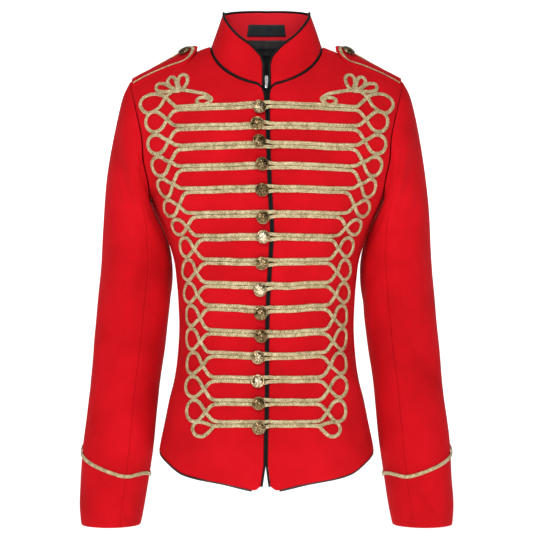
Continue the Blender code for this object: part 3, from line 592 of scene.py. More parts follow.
def makeBody():
    for name, title, side in sides:
        place = lambda u, w: frontPoint(side, u, w)

        def offset(u, w, point):
            sideGap, edgeGap = (1 - u) * 215, u * 190
            total = bodyFold(point.x, point.z, -1) * softStep(min(sideGap, edgeGap + 4) / 22)
            total += seamPull(sideGap) + seamPull(edgeGap, 0.5, 2.6) + seamPull(w * 430, 0.5, 3.0)
            total += seamPull((1 - w) * 260 + (0 if u > 0.4 else 4), 0.6, 3.0)
            if w > 0.62:  # by the armhole
                return total + pucker(sideGap, w * 700)
            return total + pucker(sideGap, w * 600, 8, 0.22)

        piece = clothPiece(f"front{title}", [f"front_{name}"], place, side,
                           bodyPieces["columns"], bodyPieces["rows"], (230, 650), offset,
                           tightRows=0.35)

    def backOffset(u, w, point):
        sideGap = min(u, 1 - u) * 430
        total = bodyFold(point.x, point.z, 1) * softStep(sideGap / 22)
        total += seamPull(sideGap) + seamPull(w * 400, 0.5, 3.0) + seamPull((1 - w) * 260, 0.6, 3.0)
        total += seamPull(abs(u - 0.5) * 430, 0.55, 2.2) * softStep((0.96 - w) / 0.1)
        return total + pucker(sideGap, w * 640, 11, 0.35)

    back = clothPiece("backCloth", ["back"], backPoint, -1, bodyPieces["backColumns"],
                      bodyPieces["rows"], (460, 620), backOffset, tight=0.6, tightRows=0.35)

    def liningPoint(u, w):
        return backPoint(mix(*liningForm["across"], u), mix(*liningForm["up"], w))

    def liningOffset(u, w, point):
        return -liningForm["behind"] - 0.4 * ripple(point.x, 0, point.z, 18)

    lining = clothPiece("backLining", ["back_lining"], liningPoint, -1, 30, 40,
                        (150, 215), liningOffset, tight=0.0, finish=blackSatin,
                        thickness=liningForm["wall"])


makeBody()
print("fronts and back made")


# sleeves: outer x and z, inner x and z, half depth, middle y

sleeveRings = (
    (203, -47, 173.5, -222, 58, 0), (214, -68, 173.5, -231, 63, 3), (223, -98, 169, -241, 66, 7),
    (230, -132, 163.5, -253, 67, 11), (236.5, -172, 156, -268, 66, 15),
    (242, -220, 148, -289, 65, 19), (247, -275, 142.5, -319, 63, 23),
    (251.5, -335, 142.5, -356, 61, 25), (257, -395, 148, -400, 59, 26),
    (262, -445, 153.5, -447, 57, 25), (267, -495, 160.5, -495, 55, 21),
    (271.5, -547, 165.5, -547, 53, 15), (275.5, -595, 170.5, -597, 50, 9),
    (278, -640, 177, -645, 48, 4), (280.5, -680, 183.5, -685, 46, 1),
    (278.5, -711, 189, -711, 45, 0),
)
sleeveTable = tuple((index,) + row for index, row in enumerate(sleeveRings))
# ring, angle, depth, half length in rings, half width in degrees, slant
sleeveFolds = (
    (4.2, 78, -4.0, 1.5, 20, 22), (6.2, 60, 3.0, 1.3, 24, 18), (7.6, 105, -4.5, 1.2, 30, -16),
    (9.2, 60, -3.5, 1.0, 34, -12), (12.6, 40, 2.6, 0.9, 40, 14), (5.5, -75, -4.0, 1.6, 26, -18),
    (8.6, -60, -3.8, 1.2, 32, 15), (11.4, -80, 3.0, 1.1, 30, -10),
)
# smaller folds that only the cloth shows, in the same words
sleeveCreases = (
    (5.3, 62, -1.3, 1.6, 9, 16), (6.9, 92, 1.2, 1.1, 10, -12), (8.1, 44, -1.5, 0.8, 14, 30),
    (8.9, 84, -1.6, 0.7, 16, -34), (9.8, 30, 1.2, 0.8, 15, 24), (11.2, 66, -1.2, 1.0, 11, -18),
    (13.1, 20, -1.0, 0.8, 13, 16), (3.2, 96, -1.4, 1.3, 8, 12), (4.6, 140, -1.6, 1.4, 12, 20),
    (7.3, 170, -1.6, 0.9, 18, 30), (8.6, 150, 1.3, 0.9, 15, -26), (6.4, -40, -1.3, 1.3, 10, -14),
    (7.7, -96, -1.7, 1.0, 13, 22), (9.3, -48, -1.5, 0.8, 15, -28), (10.4, -110, 1.3, 1.1, 13, 18),
    (12.4, -60, -1.1, 1.0, 12, 14), (5.0, 10, 1.2, 1.6, 13, 6), (10.6, 0, -1.1, 1.2, 12, -8),
    (3.0, -84, -1.4, 1.2, 9, -12), (13.8, 100, -1.0, 0.8, 14, 12), (13.25, 76, -1.6, 0.35, 6, 60),
    (13.8, 79, -1.8, 0.5, 7, -26), (14.5, 120, -1.6, 0.5, 7, 14),
)


def wrapped(angle):
    return (angle + 180) % 360 - 180 if angle != 180 else 180


def armhole(side, angle):
    rise = 1 - abs(angle) / 180
    up = (13 + 8 * rise) / 21
    if angle >= 0:
        place = lambda u, w: frontPoint(side, u, w)
        across, facing = 1.0, side
    else:
        place, across, facing = backPoint, (1 + side) / 2, -1
    point = place(across, up)
    outward = normalAt(place, across, min(max(up, 0.001), 1.0)) * facing
    if abs(angle) in (0, 180):
        point.y = 0.0
    return point, outward


armholeCache = {}


def armholeStart(side, angle):
    key = (side, round(angle * 4))
    if key not in armholeCache:
        angle = key[1] / 4
        point, outward = armhole(side, angle)
        ahead = armhole(side, angle + 2 if angle < 179 else angle - 358)[0]
        behind = armhole(side, angle - 2 if angle > -179 else angle + 358)[0]
        off = (ahead - behind).normalized().cross(outward).normalized()
        middle = Vector((side * (bodyForm["shoulderPoint"] + 15), 0.0, -134.5))
        if off.dot(middle - point) < 0:
            off.negate()
        armholeCache[key] = point + off * bodyForm["seamGap"] + outward * 0.1
    return armholeCache[key]


def startBetween(side, angle):
    # the armhole between two kept angles
    low = math.floor(angle * 4) / 4
    share = (angle - low) * 4
    return armholeStart(side, low).lerp(armholeStart(side, min(low + 0.25, 180)), share)


def sleeveSection(side, ring, angle):
    outerX, outerZ, innerX, innerZ, half, middle = (
        tableValue(sleeveTable, ring, column) for column in range(1, 7))
    turn = math.radians(angle)
    share = (1 + math.cos(turn)) / 2
    return Vector((side * mix(innerX, outerX, share), middle - half * math.sin(turn),
                   mix(innerZ, outerZ, share)))


def sleevePoint(side, angle, ring):
    point = sleeveSection(side, ring, angle)
    if ring < 4:
        point += (startBetween(side, angle) - sleeveSection(side, 0, angle)) * (1 - ring / 4) ** 2
    outerX, innerX, middleY = (tableValue(sleeveTable, ring, column) for column in (1, 3, 6))
    middle = Vector((side * (outerX + innerX) / 2, middleY, point.z))
    push = (point - middle).normalized()
    for foldRing, foldAngle, depth, length, width, slant in sleeveFolds:
        shift = ring - foldRing
        off = (angle - foldAngle - slant * shift) / width
        point += push * depth * math.exp(-(off * off) - (shift / length) ** 2) * softStep(ring / 2)
    return point


def sleeveCrease(side, angle, ring):
    total = 0.0
    for foldRing, foldAngle, depth, length, width, slant in sleeveCreases:
        shift = ring - foldRing + (0.3 if side < 0 else 0)
        wander = 9 * ripple(ring * 20, side * 50, 0, 30)
        off = (wrapped(angle - foldAngle - slant * shift) + wander) / width
        total += depth * math.exp(-(off * off) - (shift / length) ** 2)
    return total * softStep(ring / 1.5)


sleevePieces = {"columns": 62, "underColumns": 34, "rows": 170, "seamAngle": 112.5, "girth": 350}


def makeSleeves():
    seam, rings = sleevePieces["seamAngle"], len(sleeveRings) - 1
    for name, title, side in sides:
        for part, first, last in (("top", -seam, seam), ("under", seam, 360 - seam)):
            first, last = first + 0.1, last - 0.1
            reach = (last - first) / 360 * sleevePieces["girth"]

            def place(u, w):
                return sleevePoint(side, wrapped(mix(first, last, u)), w * rings)

            def offset(u, w, point):
                angle = wrapped(mix(first, last, u))
                seamGap = min(u, 1 - u) * reach
                topGap = w * 640
                total = sleeveCrease(side, angle, w * rings)
                total += 0.9 * ripple(point.x, point.y, point.z * 0.6, 45)
                total *= softStep(topGap / 26)
                total += seamPull(seamGap, 0.3, 2.0) + seamPull(topGap, 0.5)
                total += seamPull((1 - w) * 660, 0.5, 3.0)
                if abs(angle) < 120:
                    total += pucker(topGap, angle / 360 * 500, 18, 0.75, 17) * softStep(topGap / 6)
                return total + pucker(seamGap, w * 660, 8, 0.2, 21)

            columns = sleevePieces["columns" if part == "top" else "underColumns"]
            piece = clothPiece(f"sleeve{part.capitalize()}{title}",
                               [f"sleeve_{part}_{name}"], place, side, columns,
                               sleevePieces["rows"], (reach, 660), offset, tight=0.6, tightRows=0.2)


makeSleeves()
print("sleeves made")


# the collar, its piping and the blank label

collarForm = {"start": 4.7, "seat": 2.3, "seatLean": 0.008, "wall": 2.4, "piping": 1.9,
              "sunk": 0.5, "seamIn": 0.985}
labelForm = {"around": (0.4333, 0.5667), "up": (0.27, 0.64), "depth": 3.0, "wall": 0.8}
# angle from the front, height, lean toward the neck
collarHeight = (
    (4, 30, 0.073), (6, 37.4, 0.108), (12, 43.2, 0.138), (21, 50.4, 0.159), (41, 54, 0.168),
    (62, 54.0, 0.18), (90, 46.2, 0.191), (135, 47.1, 0.191), (180, 47.3, 0.189),
)


def neckRing(angle):
    turn = math.radians(angle)
    x = bodyForm["neckHalf"] * math.sin(turn)
    z = neckHeight(angle)
    facing = -1 if math.cos(turn) > 0 else 1
    return Vector((x, bodyDepth(x, z, facing) - facing * bodyForm["seamGap"] / 2, z))


def drawnIn(point, narrow, rise):
    # toward the neck's middle, and up
    middle = bodyForm["neckMiddle"]
    return Vector((point.x * narrow, (point.y - middle) * narrow + middle, point.z + rise))


def collarPoint(around, up):
    angle = mix(collarForm["start"], 360 - collarForm["start"], around)
    fromFront = min(angle, 360 - angle)
    height = collarForm["seat"] + tableValue(collarHeight, fromFront, 1) * up
    narrow = 1 - collarForm["seatLean"] - tableValue(collarHeight, fromFront, 2) * up
    return drawnIn(neckRing(angle), narrow, height)


def cordAlong(name, nodes, line, radius, finish):
    # a round cord: a circle carried along the line, one turn at every point
    mesh = bmesh.new()
    layer = mesh.loops.layers.uv.new("weave")
    count, runs = len(line), runsAlong(line)
    bmesh.ops.create_grid(mesh, x_segments=count - 1, y_segments=8, size=0.5)
    for vert in list(mesh.verts):
        index = min(max(round((vert.co.x + 0.5) * (count - 1)), 0), count - 1)
        turn = (vert.co.y + 0.5) * 2 * math.pi
        tangent = (line[min(index + 1, count - 1)] - line[max(index - 1, 0)]).normalized()
        level = tangent.cross(Vector((0.3, 0.2, 1.0))).normalized()
        rise = tangent.cross(level)
        for loop in vert.link_loops:
            loop[layer].uv = (runs[index] * mm, turn * radius * mm)
        vert.co = (line[index] + (level * math.cos(turn) + rise * math.sin(turn)) * radius) * mm
    closeTube(mesh)
    return finishMesh(name, mesh, nodes, finish)


def makeCollar():
    def offset(u, w, point):
        total = 0.7 * ripple(point.x, point.y, point.z, 34) * softStep(w / 0.3)
        ends = min(u, 1 - u) * 400
        total += seamPull(max(0.0, (1 - w) * 45 - 0.5), 0.5, 2.2) + seamPull(ends, 0.5, 2.2)
        return total - 0.35 * math.exp(-(((1 - w) * 45 - 5.5) / 0.9) ** 2)

    collar = clothPiece("collarCloth", ["collar"], collarPoint, 1, 150, 22, (400, 46),
                        offset, tight=0.0, lining=paintedLightInsideTwill, thickness=collarForm["wall"])
    stations = [(0.0, step / 10) for step in range(10)]
    stations += [(step / 120, 1.0) for step in range(121)]
    stations += [(1.0, 1 - step / 10) for step in range(1, 11)]
    edge = [collarPoint(u, w) - normalAt(collarPoint, u, w) * collarForm["wall"] / 2
            for u, w in stations]
    line = []
    for index, (u, w) in enumerate(stations):
        tangent = edge[min(index + 1, len(edge) - 1)] - edge[max(index - 1, 0)]
        outward = tangent.cross(normalAt(collarPoint, u, w)).normalized()
        line.append(edge[index] - outward * (collarForm["piping"] - collarForm["sunk"]))
    cordAlong("collarPiping", ["collar_piping"], line, collarForm["piping"],
              blackPiping)
    seam = []
    for step in range(121):
        base = neckRing(mix(collarForm["start"], 360 - collarForm["start"], step / 120))
        seam.append(drawnIn(base, collarForm["seamIn"], -collarForm["sunk"]))
    cordAlong("neckPiping", ["neck_piping"], seam, collarForm["piping"],
              blackPiping)
    labelPlace = lambda u, w: collarPoint(mix(*labelForm["around"], u), mix(*labelForm["up"], w))

    def labelOffset(u, w, point):
        rim = min(u * 60, (1 - u) * 60, w * 20, (1 - w) * 20)
        return -labelForm["depth"] - 0.35 * softStep(rim / 3) - 0.15 * ripple(point.x, 0, point.z, 9)

    label = clothPiece("blankLabel", ["label"], labelPlace, 1, 40, 16, (60, 20),
                       labelOffset, tight=0.0, finish=labelSatin, lining=labelSatin,
                       thickness=labelForm["wall"])


facingForm = {"first": 91.0, "last": 269.0, "low": 4.8, "corner": 0.935, "drop": 5.0, "top": 3.1,
              "lowUp": 0.95, "topUp": 0.15, "wall": 0.8}


def facingPoint(around, up):
    # from under the back's neck edge, round the seam, and up the collar's inside
    angle = mix(facingForm["first"], facingForm["last"], around)
    across = 0.5 + 0.5 * (180 - angle) / 90 * bodyForm["backNeckShare"]
    if up < 0.5:
        place, station, height = backPoint, across, facingForm["lowUp"]
        off = facingForm["low"]
    else:
        place, height, off = collarPoint, facingForm["topUp"], -facingForm["top"]
        station = (angle - collarForm["start"]) / (360 - 2 * collarForm["start"])
    corner = drawnIn(neckRing(angle), facingForm["corner"], -facingForm["drop"])
    edge = place(station, height) + normalAt(place, station, height) * off
    return corner.lerp(edge, abs(2 * up - 1))


def makeFacing():
    facing = clothPiece("neckFacing", [], facingPoint, 1, 70, 12, (230, 26),
                        tight=0.0, finish=blackSatin, thickness=facingForm["wall"])


makeCollar()
makeFacing()
print("collar made")


# the closing edges: black piping, zip tapes, teeth, slider and pull tab

closingForm = {
    "zipFoot": -614.0,
    "zipTop": -47.0,
    "zipDepth": 3.4,
    "tapeInner": 2.7,
    "tapeOuter": 15.0,
    "tooth": (2.6, 1.5, 1.3),  # across, deep, high
    "toothPitch": 2.9,
    "toothRun": 0.985,  # how much of the zip has teeth
    "tapeWall": 1.0,
    "piping": 1.65,
    "pipingIn": 1.6,
    "pipingBack": 0.6,
    "hemEdge": 1.5,
    "hem": (0.035, 0.995),  # shares of a front that its hem edge runs between
    "hemBack": 1.8,
    "hemDown": 0.9,
}


def closingLine(side, out, depth, up):
    z = mix(closingForm["zipFoot"], closingForm["zipTop"], up)
    x = tableValue(closingWander, z, 1) + side * out
    return Vector((x, bodyDepth(x, z, -1) + depth, z))


def makeClosing():
    for name, title, side in sides:
        line = []
        for step in range(150):
            edge = frontPoint(side, 0.0, step / 149 * 0.997)
            line.append(edge + Vector((-side * closingForm["pipingIn"], closingForm["pipingBack"], 0.0)))
        cordAlong(f"frontPiping{title}", [f"front_piping_{name}"], line,
                  closingForm["piping"], blackPiping)
        hem = []
        for step in range(60):
            edge = frontPoint(side, mix(*closingForm["hem"], step / 59), 0.0)
            hem.append(edge + Vector((0.0, closingForm["hemBack"], -closingForm["hemDown"])))
        cordAlong(f"hemEdge{title}", [], hem,
                  closingForm["hemEdge"], blackSatin)

        def tape(u, w):
            out = mix(closingForm["tapeInner"], closingForm["tapeOuter"], u)
            wave = 0.2 * ripple(out, 3, w * 600, 12)
            return closingLine(side, out, closingForm["zipDepth"] + wave, w)

        piece = clothPiece(f"zipTape{title}", [f"zip_tape_{name}"], tape, side, 6, 150,
                           (12.3, 600), tight=0.0, finish=blackPiping, lining=blackPiping,
                           thickness=closingForm["tapeWall"])
    teeth = bmesh.new()
    full = closingForm["toothRun"]
    count = int((closingForm["zipTop"] - closingForm["zipFoot"]) * full / closingForm["toothPitch"])
    for index in range(count):
        side = 1 if index % 2 else -1
        made = bmesh.ops.create_cube(teeth, size=1.0)["verts"]
        bmesh.ops.scale(teeth, vec=closingForm["tooth"], verts=made)
        spot = closingLine(side, 0.75, closingForm["zipDepth"] + 0.7, (index + 0.5) / count * full)
        bmesh.ops.translate(teeth, vec=spot, verts=made)
    bmesh.ops.bevel(teeth, geom=list(teeth.edges), offset=0.25, segments=1, affect="EDGES",
                    profile=0.5, material=-1)
    bmesh.ops.scale(teeth, vec=(mm, mm, mm), verts=teeth.verts)
    finishMesh("zipTeeth", teeth, ["zip_chain"], zipDark)


makeClosing()

sliderForm = {"top": -47.5, "width": 4.6, "long": 9.0, "pivotDrop": -4.0, "pull": 17.0}


def makeSlider():
    chest = [bodyDepth(0.0, sliderForm["top"] - drop, -1) for drop in (0, sliderForm["pull"] + 4)]
    lean = Matrix.Rotation(math.atan2(chest[1] - chest[0], sliderForm["pull"] + 4), 3, "X")
    spot = Vector((0.0, chest[0] - 0.8, sliderForm["top"]))
    block = bmesh.new()
    bmesh.ops.create_cube(block, size=1.0)
    bmesh.ops.scale(block, vec=(sliderForm["width"], 2.8, sliderForm["long"]), verts=block.verts)
    low = [vert for vert in block.verts if vert.co.z < 0]
    bmesh.ops.scale(block, vec=(0.72, 1.0, 1.0), verts=low)
    bmesh.ops.translate(block, vec=(0, 1.4, -sliderForm["long"] / 2), verts=block.verts)
    bmesh.ops.bevel(block, geom=list(block.edges), offset=0.6, segments=3, affect="EDGES",
                    profile=0.5, material=-1)
    bow = bmesh.new()
    bmesh.ops.create_circle(bow, cap_ends=True, segments=14, radius=0.6)
    upright = Matrix.Rotation(math.pi / 2, 3, "X")
    bmesh.ops.rotate(bow, verts=bow.verts, cent=(0, 0, 0), matrix=upright)
    bmesh.ops.translate(bow, vec=(0, 0.5, sliderForm["pivotDrop"] + 2.6), verts=bow.verts)
    bmesh.ops.spin(bow, geom=list(bow.verts) + list(bow.edges) + list(bow.faces),
                   cent=(0, 0.5, sliderForm["pivotDrop"]), axis=(1, 0, 0), angle=math.pi, steps=16)
    bmesh.ops.recalc_face_normals(bow, faces=bow.faces)
    for name, form in (("zipSlider", block), ("zipBail", bow)):
        settle(form, lean, spot)
        finishMesh(name, form, ["zip_slider"], zipSteel)
    tab = bmesh.new()
    half, end = sliderForm["width"] / 2, -sliderForm["pull"]
    outline = [(-half, 0.6), (half, 0.6), (half, end + 1), (half - 1, end), (1 - half, end),
               (-half, end + 1)]
    eye = [(-1.1, -0.5), (1.1, -0.5), (1.1, -4.6), (-1.1, -4.6)]
    edges = []
    for points in (outline, eye):
        verts = [tab.verts.new((x, -0.4, up)) for x, up in points]
        edges += [tab.edges.new(ends) for ends in zip(verts, verts[1:] + verts[:1])]
    bmesh.ops.triangle_fill(tab, edges=edges, use_beauty=True)
    raised = bmesh.ops.extrude_face_region(tab, geom=list(tab.faces), use_keep_orig=True)
    moved = [item for item in raised["geom"] if isinstance(item, bmesh.types.BMVert)]
    bmesh.ops.translate(tab, vec=(0, 0.8, 0), verts=moved)
    bmesh.ops.recalc_face_normals(tab, faces=tab.faces)
    rims = [edge for edge in tab.edges
            if len(edge.link_faces) == 2 and edge.calc_face_angle(0) > 0.6]
    bmesh.ops.bevel(tab, geom=rims, offset=0.18, segments=2, affect="EDGES", profile=0.5,
                    material=-1)
    settle(tab, lean, spot + lean @ Vector((0.0, -1.0, sliderForm["pivotDrop"])))
    pull = finishMesh("zipPullTab", tab, ["zip_pull_tab"], zipSteel, body="zip_pull")
    pull.data.set_sharp_from_angle(angle=math.radians(40))


makeSlider()
print("closing made")


# places on the cloth for braid and buttons

spreadCache = {}


def clothX(distance, z):
    key = round(z)
    if key not in spreadCache:
        total, rows, last = 0.0, [(0.0, 0.0)], Vector((0.0, bodyDepth(0.0, key, -1)))
        for step in range(1, 45):
            x = halfWidth(key) * math.sin(math.radians(2 * step)) ** (2 / bodyForm["roundness"])
            here = Vector((x, bodyDepth(x, key, -1)))
            total += (here - last).length
            rows.append((total, x))
            last = here
        spreadCache[key] = rows
    for (low, lowX), (high, highX) in zip(spreadCache[key], spreadCache[key][1:]):
        if abs(distance) <= high:
            return math.copysign(mix(lowX, highX, (abs(distance) - low) / (high - low)), distance)
    return math.copysign(spreadCache[key][-1][1], distance)


def onFront(side):
    def surface(distance, z):
        x = side * clothX(distance, z)
        return Vector((x, bodyDepth(x, z, -1), z))

    def place(distance, z, off):
        fold = bodyFold(side * clothX(distance, z), z, -1) * softStep((abs(distance) + 2) / 22)
        return lifted(surface, distance, z, side * (off + fold))

    return place


strapForm = {
    "outer": 201.0,
    "tip": 104.0,
    "half": 23.0,
    "wall": 2.5,
    "lift": 5.5,
    "twist": 5.5,
    "seat": 1.1,
    "rootY": -5.0,
    "tipY": -24.0,
    "round": 17.0,  # length of the rounded end
    "button": 80.0,  # how far along its button sits
    "braidIn": 4.6,
    "braidSunk": 0.6,
    "braidWidth": 5.2,
}


def strapHeight(x, y):
    facing = -1 if y < 0 else 1
    reach = sectionDepth(x, bodyForm["shoulderDrop"], facing)
    power = 2.0 if y < 0 else 2.4
    drop = (1 - min(abs(y) / reach, 1) ** power) ** (1 / power)
    cloth = bodyForm["chest"] + (ridgeHeight(x) - bodyForm["chest"]) * drop
    return cloth + strapForm["seat"] + strapForm["wall"]


def onStrap(side):
    def place(distance, across, off):
        x = strapForm["outer"] - distance
        share = distance / (strapForm["outer"] - strapForm["tip"])
        y = mix(strapForm["rootY"], strapForm["tipY"], share) + across
        rise = (strapForm["lift"] + strapForm["twist"] * across / strapForm["half"]) * share**3
        return Vector((side * x, y, strapHeight(x, y) + rise + off))

    return place


cuffForm = {"reach": 130.0, "peak": -32.0, "low": -634.0}


def cuffRing(z):
    for index, (row, following) in enumerate(zip(sleeveRings, sleeveRings[1:])):
        if z >= following[1]:
            return index + (row[1] - z) / (row[1] - following[1])
    return len(sleeveRings) - 1


def onCuff(side):
    def surface(distance, z):
        return sleevePoint(side, wrapped(distance / cuffForm["reach"] * 180), cuffRing(z))

    def place(distance, z, off):
        fold = sleeveCrease(side, wrapped(distance / cuffForm["reach"] * 180), cuffRing(z))
        return lifted(surface, distance, z, -side * (off + 0.3 + max(fold, -1.0)))

    return place


# braid: a flat plaited cord with a groove down its middle

braidForm = {
    "width": 5.5,
    "height": 1.9,
    "step": 2.2,
    "seat": 0.45,
    # the section: across and up, as shares of half the width and of the height
    "section": ((-1.0, 0.12), (-0.90, 0.66), (-0.55, 1.0), (-0.20, 0.90), (0.0, 0.70), (0.20, 0.90),
                (0.55, 1.0), (0.90, 0.66), (1.0, 0.12), (0.0, -0.12)),
}


def braidCords(name, nodes, paths, place, width=None):
    # each path is a list of (along, up, lift)
    width = width or braidForm["width"]
    mesh = bmesh.new()
    layer = mesh.loops.layers.uv.new("weave")
    section = braidForm["section"]
    for path in paths:
        line = roundedLine(path, braidForm["step"])
        count = len(line)
        centres, ways = [], []
        for index, spot in enumerate(line):
            ahead, behind = line[min(index + 1, count - 1)], line[max(index - 1, 0)]
            here = place(spot.x, spot.y, braidForm["seat"] + spot.z)
            above = place(spot.x, spot.y, braidForm["seat"] + spot.z + 1)
            toward = place(ahead.x, ahead.y, spot.z) - place(behind.x, behind.y, spot.z)
            rise = (above - here).normalized()
            centres.append(here)
            ways.append((toward.cross(rise).normalized(), rise))
        made = bmesh.ops.create_grid(mesh, x_segments=count - 1, y_segments=len(section), size=0.5)
        run = runsAlong(centres)
        for vert in made["verts"]:
            index = min(max(round((vert.co.x + 0.5) * (count - 1)), 0), count - 1)
            turn = round((vert.co.y + 0.5) * len(section))
            across, up = section[turn % len(section)]
            slack = 1 + 0.05 * ripple(run[index], turn, 0, 9)
            out, rise = ways[index]
            for loop in vert.link_loops:
                loop[layer].uv = (run[index] * mm, across)
            vert.co = (centres[index] + out * across * width / 2 * slack
                       + rise * up * braidForm["height"] * slack) * mm
    closeTube(mesh)
    return finishMesh(name, mesh, nodes, goldBraid)


# rows of braid: heights of the button, of the closing end, of the end before the crossing,
# and of the loops beside it
braidRows = (
    (-96, -92, -95, -97), (-120, -122.5, -124, -131), (-146, -150, -152.5, -163),
    (-178, -180, -182.5, -195), (-214, -213, -214.5, -226), (-254, -249.5, -250, -254),
    (-282, -282, -283, -281), (-319, -318.5, -317.5, -313), (-358, -353, -351, -347),
    (-393, -387, -384, -380), (-425, -422.5, -420, -414), (-456, -455, -453, -449),
    (-492, -488.5, -488.5, -484), (-523, -521, -521.5, -518), (-557, -552, -552, -553),
)
# the outer loop below each row: how far out its middle lies along the cloth, half its width
braidLoops = (
    (168, 15), (166, 15), (163, 14.5), (160, 13.5), (154, 15), (141, 14), (129.5, 13),
    (127, 13), (125, 13), (121, 13), (120, 13), (115, 13), (112, 13), (109, 13),
)
buttonPlaces = (-11, -13, -11, -7, -6, -6, -5, -7, -10, -8, -8, -13, -12, -12, -11)
rowHalf = 2.75  # half the distance between the two cords of a row


def rowCord(side, row, above):
    # one cord of a row, from its foldback at the button to its outer end
    button, inner, outer = braidRows[row][:3]
    loop, half = braidLoops[min(row, len(braidLoops) - 1)]
    end = loop - 2 * half - 13
    shift = rowHalf if above else -rowHalf
    if side > 0:  # round the button's shank, over the closing
        place = buttonPlaces[row]
        edge = bodyForm["edgeInset"] + tableValue(closingWander, inner, 1)
        start = [(place - 5, button, 2.5), (place - 3.5, button + shift * 1.1, 2.5),
                 (place + 3, mix(button, inner, 0.4) + shift * 1.6, 2.5),
                 (edge - 1, inner + shift * 1.25, 1.9), (edge + 7, inner + shift, 0.4)]
        first = edge + 16
    else:
        first = bodyForm["edgeInset"] + 2 - tableValue(closingWander, inner, 1)
        start = []
    for step in range(7):
        share = step / 6
        level = mix(inner, outer, softStep(share)) + shift
        level += 0.8 * ripple(step * 20, row * 33, side * 11, 30)
        start.append((mix(first, end, share), level, 0.0))
    return start


def bayCord(side, bay):
    # out along a row, down through the crossing, round the loop and back along the next row
    (loop, half), above, below = braidLoops[bay], braidRows[bay], braidRows[bay + 1]
    top, low = above[2] - rowHalf, below[2] + rowHalf
    middle = (above[3] + below[3]) / 2
    crossing = mix((top + low) / 2, middle, 0.45)
    tall = (above[3] - below[3]) / 2 - 2.2
    wide = half + 1 + 0.7 * ripple(bay * 17, side * 40, 0, 20)
    cross = loop - half - 6
    ring = []
    for step in range(9):
        turn = math.radians(143 - 35.75 * step)
        lift = 0.5 * max(0.0, math.sin(turn)) ** 3
        ring.append((loop + wide * math.cos(turn), middle + tall * math.sin(turn), lift))
    inward = [(cross - 16, top - 0.3, 0.0), (cross - 9.5, mix(top, crossing, 0.2), 0.0),
              (cross - 4.5, mix(top, crossing, 0.6), 0.0), (cross, crossing, 0.0)]
    outward = [(cross, crossing, 1.7), (cross - 4.5, mix(low, crossing, 0.6), 0.6),
               (cross - 9.5, mix(low, crossing, 0.2), 0.0), (cross - 16, low + 0.3, 0.0)]
    return (rowCord(side, bay, False) + inward + ring[::-1] + outward
            + rowCord(side, bay + 1, True)[::-1])


def ornamentCords(side):
    # over the top row: an outer loop, three leaves and a scroll by the neck
    foot = (128, -70, 0.4)
    top = rowCord(side, 0, True)[:-1] + [
        (131, -93, 0), (137, -90, 0), (144, -84, 0), (150, -78.5, 0.2), (158, -74.5, 0),
        (168, -72.5, 0), (180, -73.5, 0), (190, -79, 0), (194, -87, 0), (190, -95, 0),
        (181, -100.5, 0), (169, -98.5, 0), (158, -91, 0), (150, -80.5, 1.8), (144, -74, 0.8),
        (138, -69.5, 0.3), (128, -68.5, 0.2),
        (116, -69.5, 0), (103, -72, 0), (94, -73.5, 0), (86, -77, 0), (80, -82, 0), (84, -87, 0.2),
        (91, -91, 0.2), (99, -89.5, 0), (102, -84.5, 0), (97, -80.5, 0), (89, -80.5, 0.4),
        (82, -83.5, 1.6)]
    leaves = [
        [foot, (140, -70, 0.9), (154, -70, 0.2), (166, -66, 0), (165, -58, 0), (155, -57, 0),
         (144, -63, 0.3), (135, -69, 1.4)],
        [(132, -69, 0.8), (143, -63, 0.8), (149, -54, 0), (145, -47, 0), (138, -49, 0),
         (134, -58, 0.3), (131, -68, 1.6)],
        [(126, -69, 0.8), (131, -60, 0.4), (131, -49, 0), (125, -44, 0), (118, -48, 0),
         (118, -58, 0), (123, -68, 1.6)],
    ]
    return [top, *leaves]


def tailCord(side):
    out, end = braidLoops[-1][0], braidRows[-1][3]
    return rowCord(side, len(braidRows) - 1, False)[:-1] + [
        (out - 34, end - rowHalf, 0), (out - 26, end - 1, 0), (out - 14, end + 2, 0),
        (out - 3, end + 1, 0), (out + 3, end - 8, 0), (out - 3, end - 17, 0), (out - 15, end - 18, 0),
        (out - 25, end - 11, 0), (out - 33, end - 3, 1.6)]


def makeFrogging():
    for name, title, side in sides:
        paths = [bayCord(side, bay) for bay in range(len(braidLoops))]
        paths += ornamentCords(side) + [tailCord(side)]
        braidCords(f"frogging{title}", [f"frogging_{name}"], paths, onFront(side))


makeFrogging()
print("frogging made")


def makeCuffBraid():
    for name, title, side in sides:
        line = []
        for step in range(41):
            angle = mix(-180, 180, step / 40)
            away = abs(angle - cuffForm["peak"])
            away = min(away, 360 - away)
            rise = max(0.0, 1 - away / 150) ** 1.25
            dip = 6 * softStep((away - 130) / 50)
            line.append((angle / 180 * cuffForm["reach"], cuffForm["low"] + 48 * rise + dip, 0.0))
        peak, top = cuffForm["peak"] / 180 * cuffForm["reach"], cuffForm["low"] + 44
        knot = [(peak - 3, top, 1.3), (peak + 4, top + 5, 0.3), (peak + 9, top + 13, 0),
                (peak + 5, top + 22, 0), (peak, top + 25, 0), (peak - 5, top + 22, 0),
                (peak - 9, top + 13, 0), (peak - 4, top + 5, 1.3), (peak + 3, top, 1.6)]
        braidCords(f"cuffBraid{title}", [f"cuff_braid_{name}"], [line, knot],
                   onCuff(side))


makeCuffBraid()


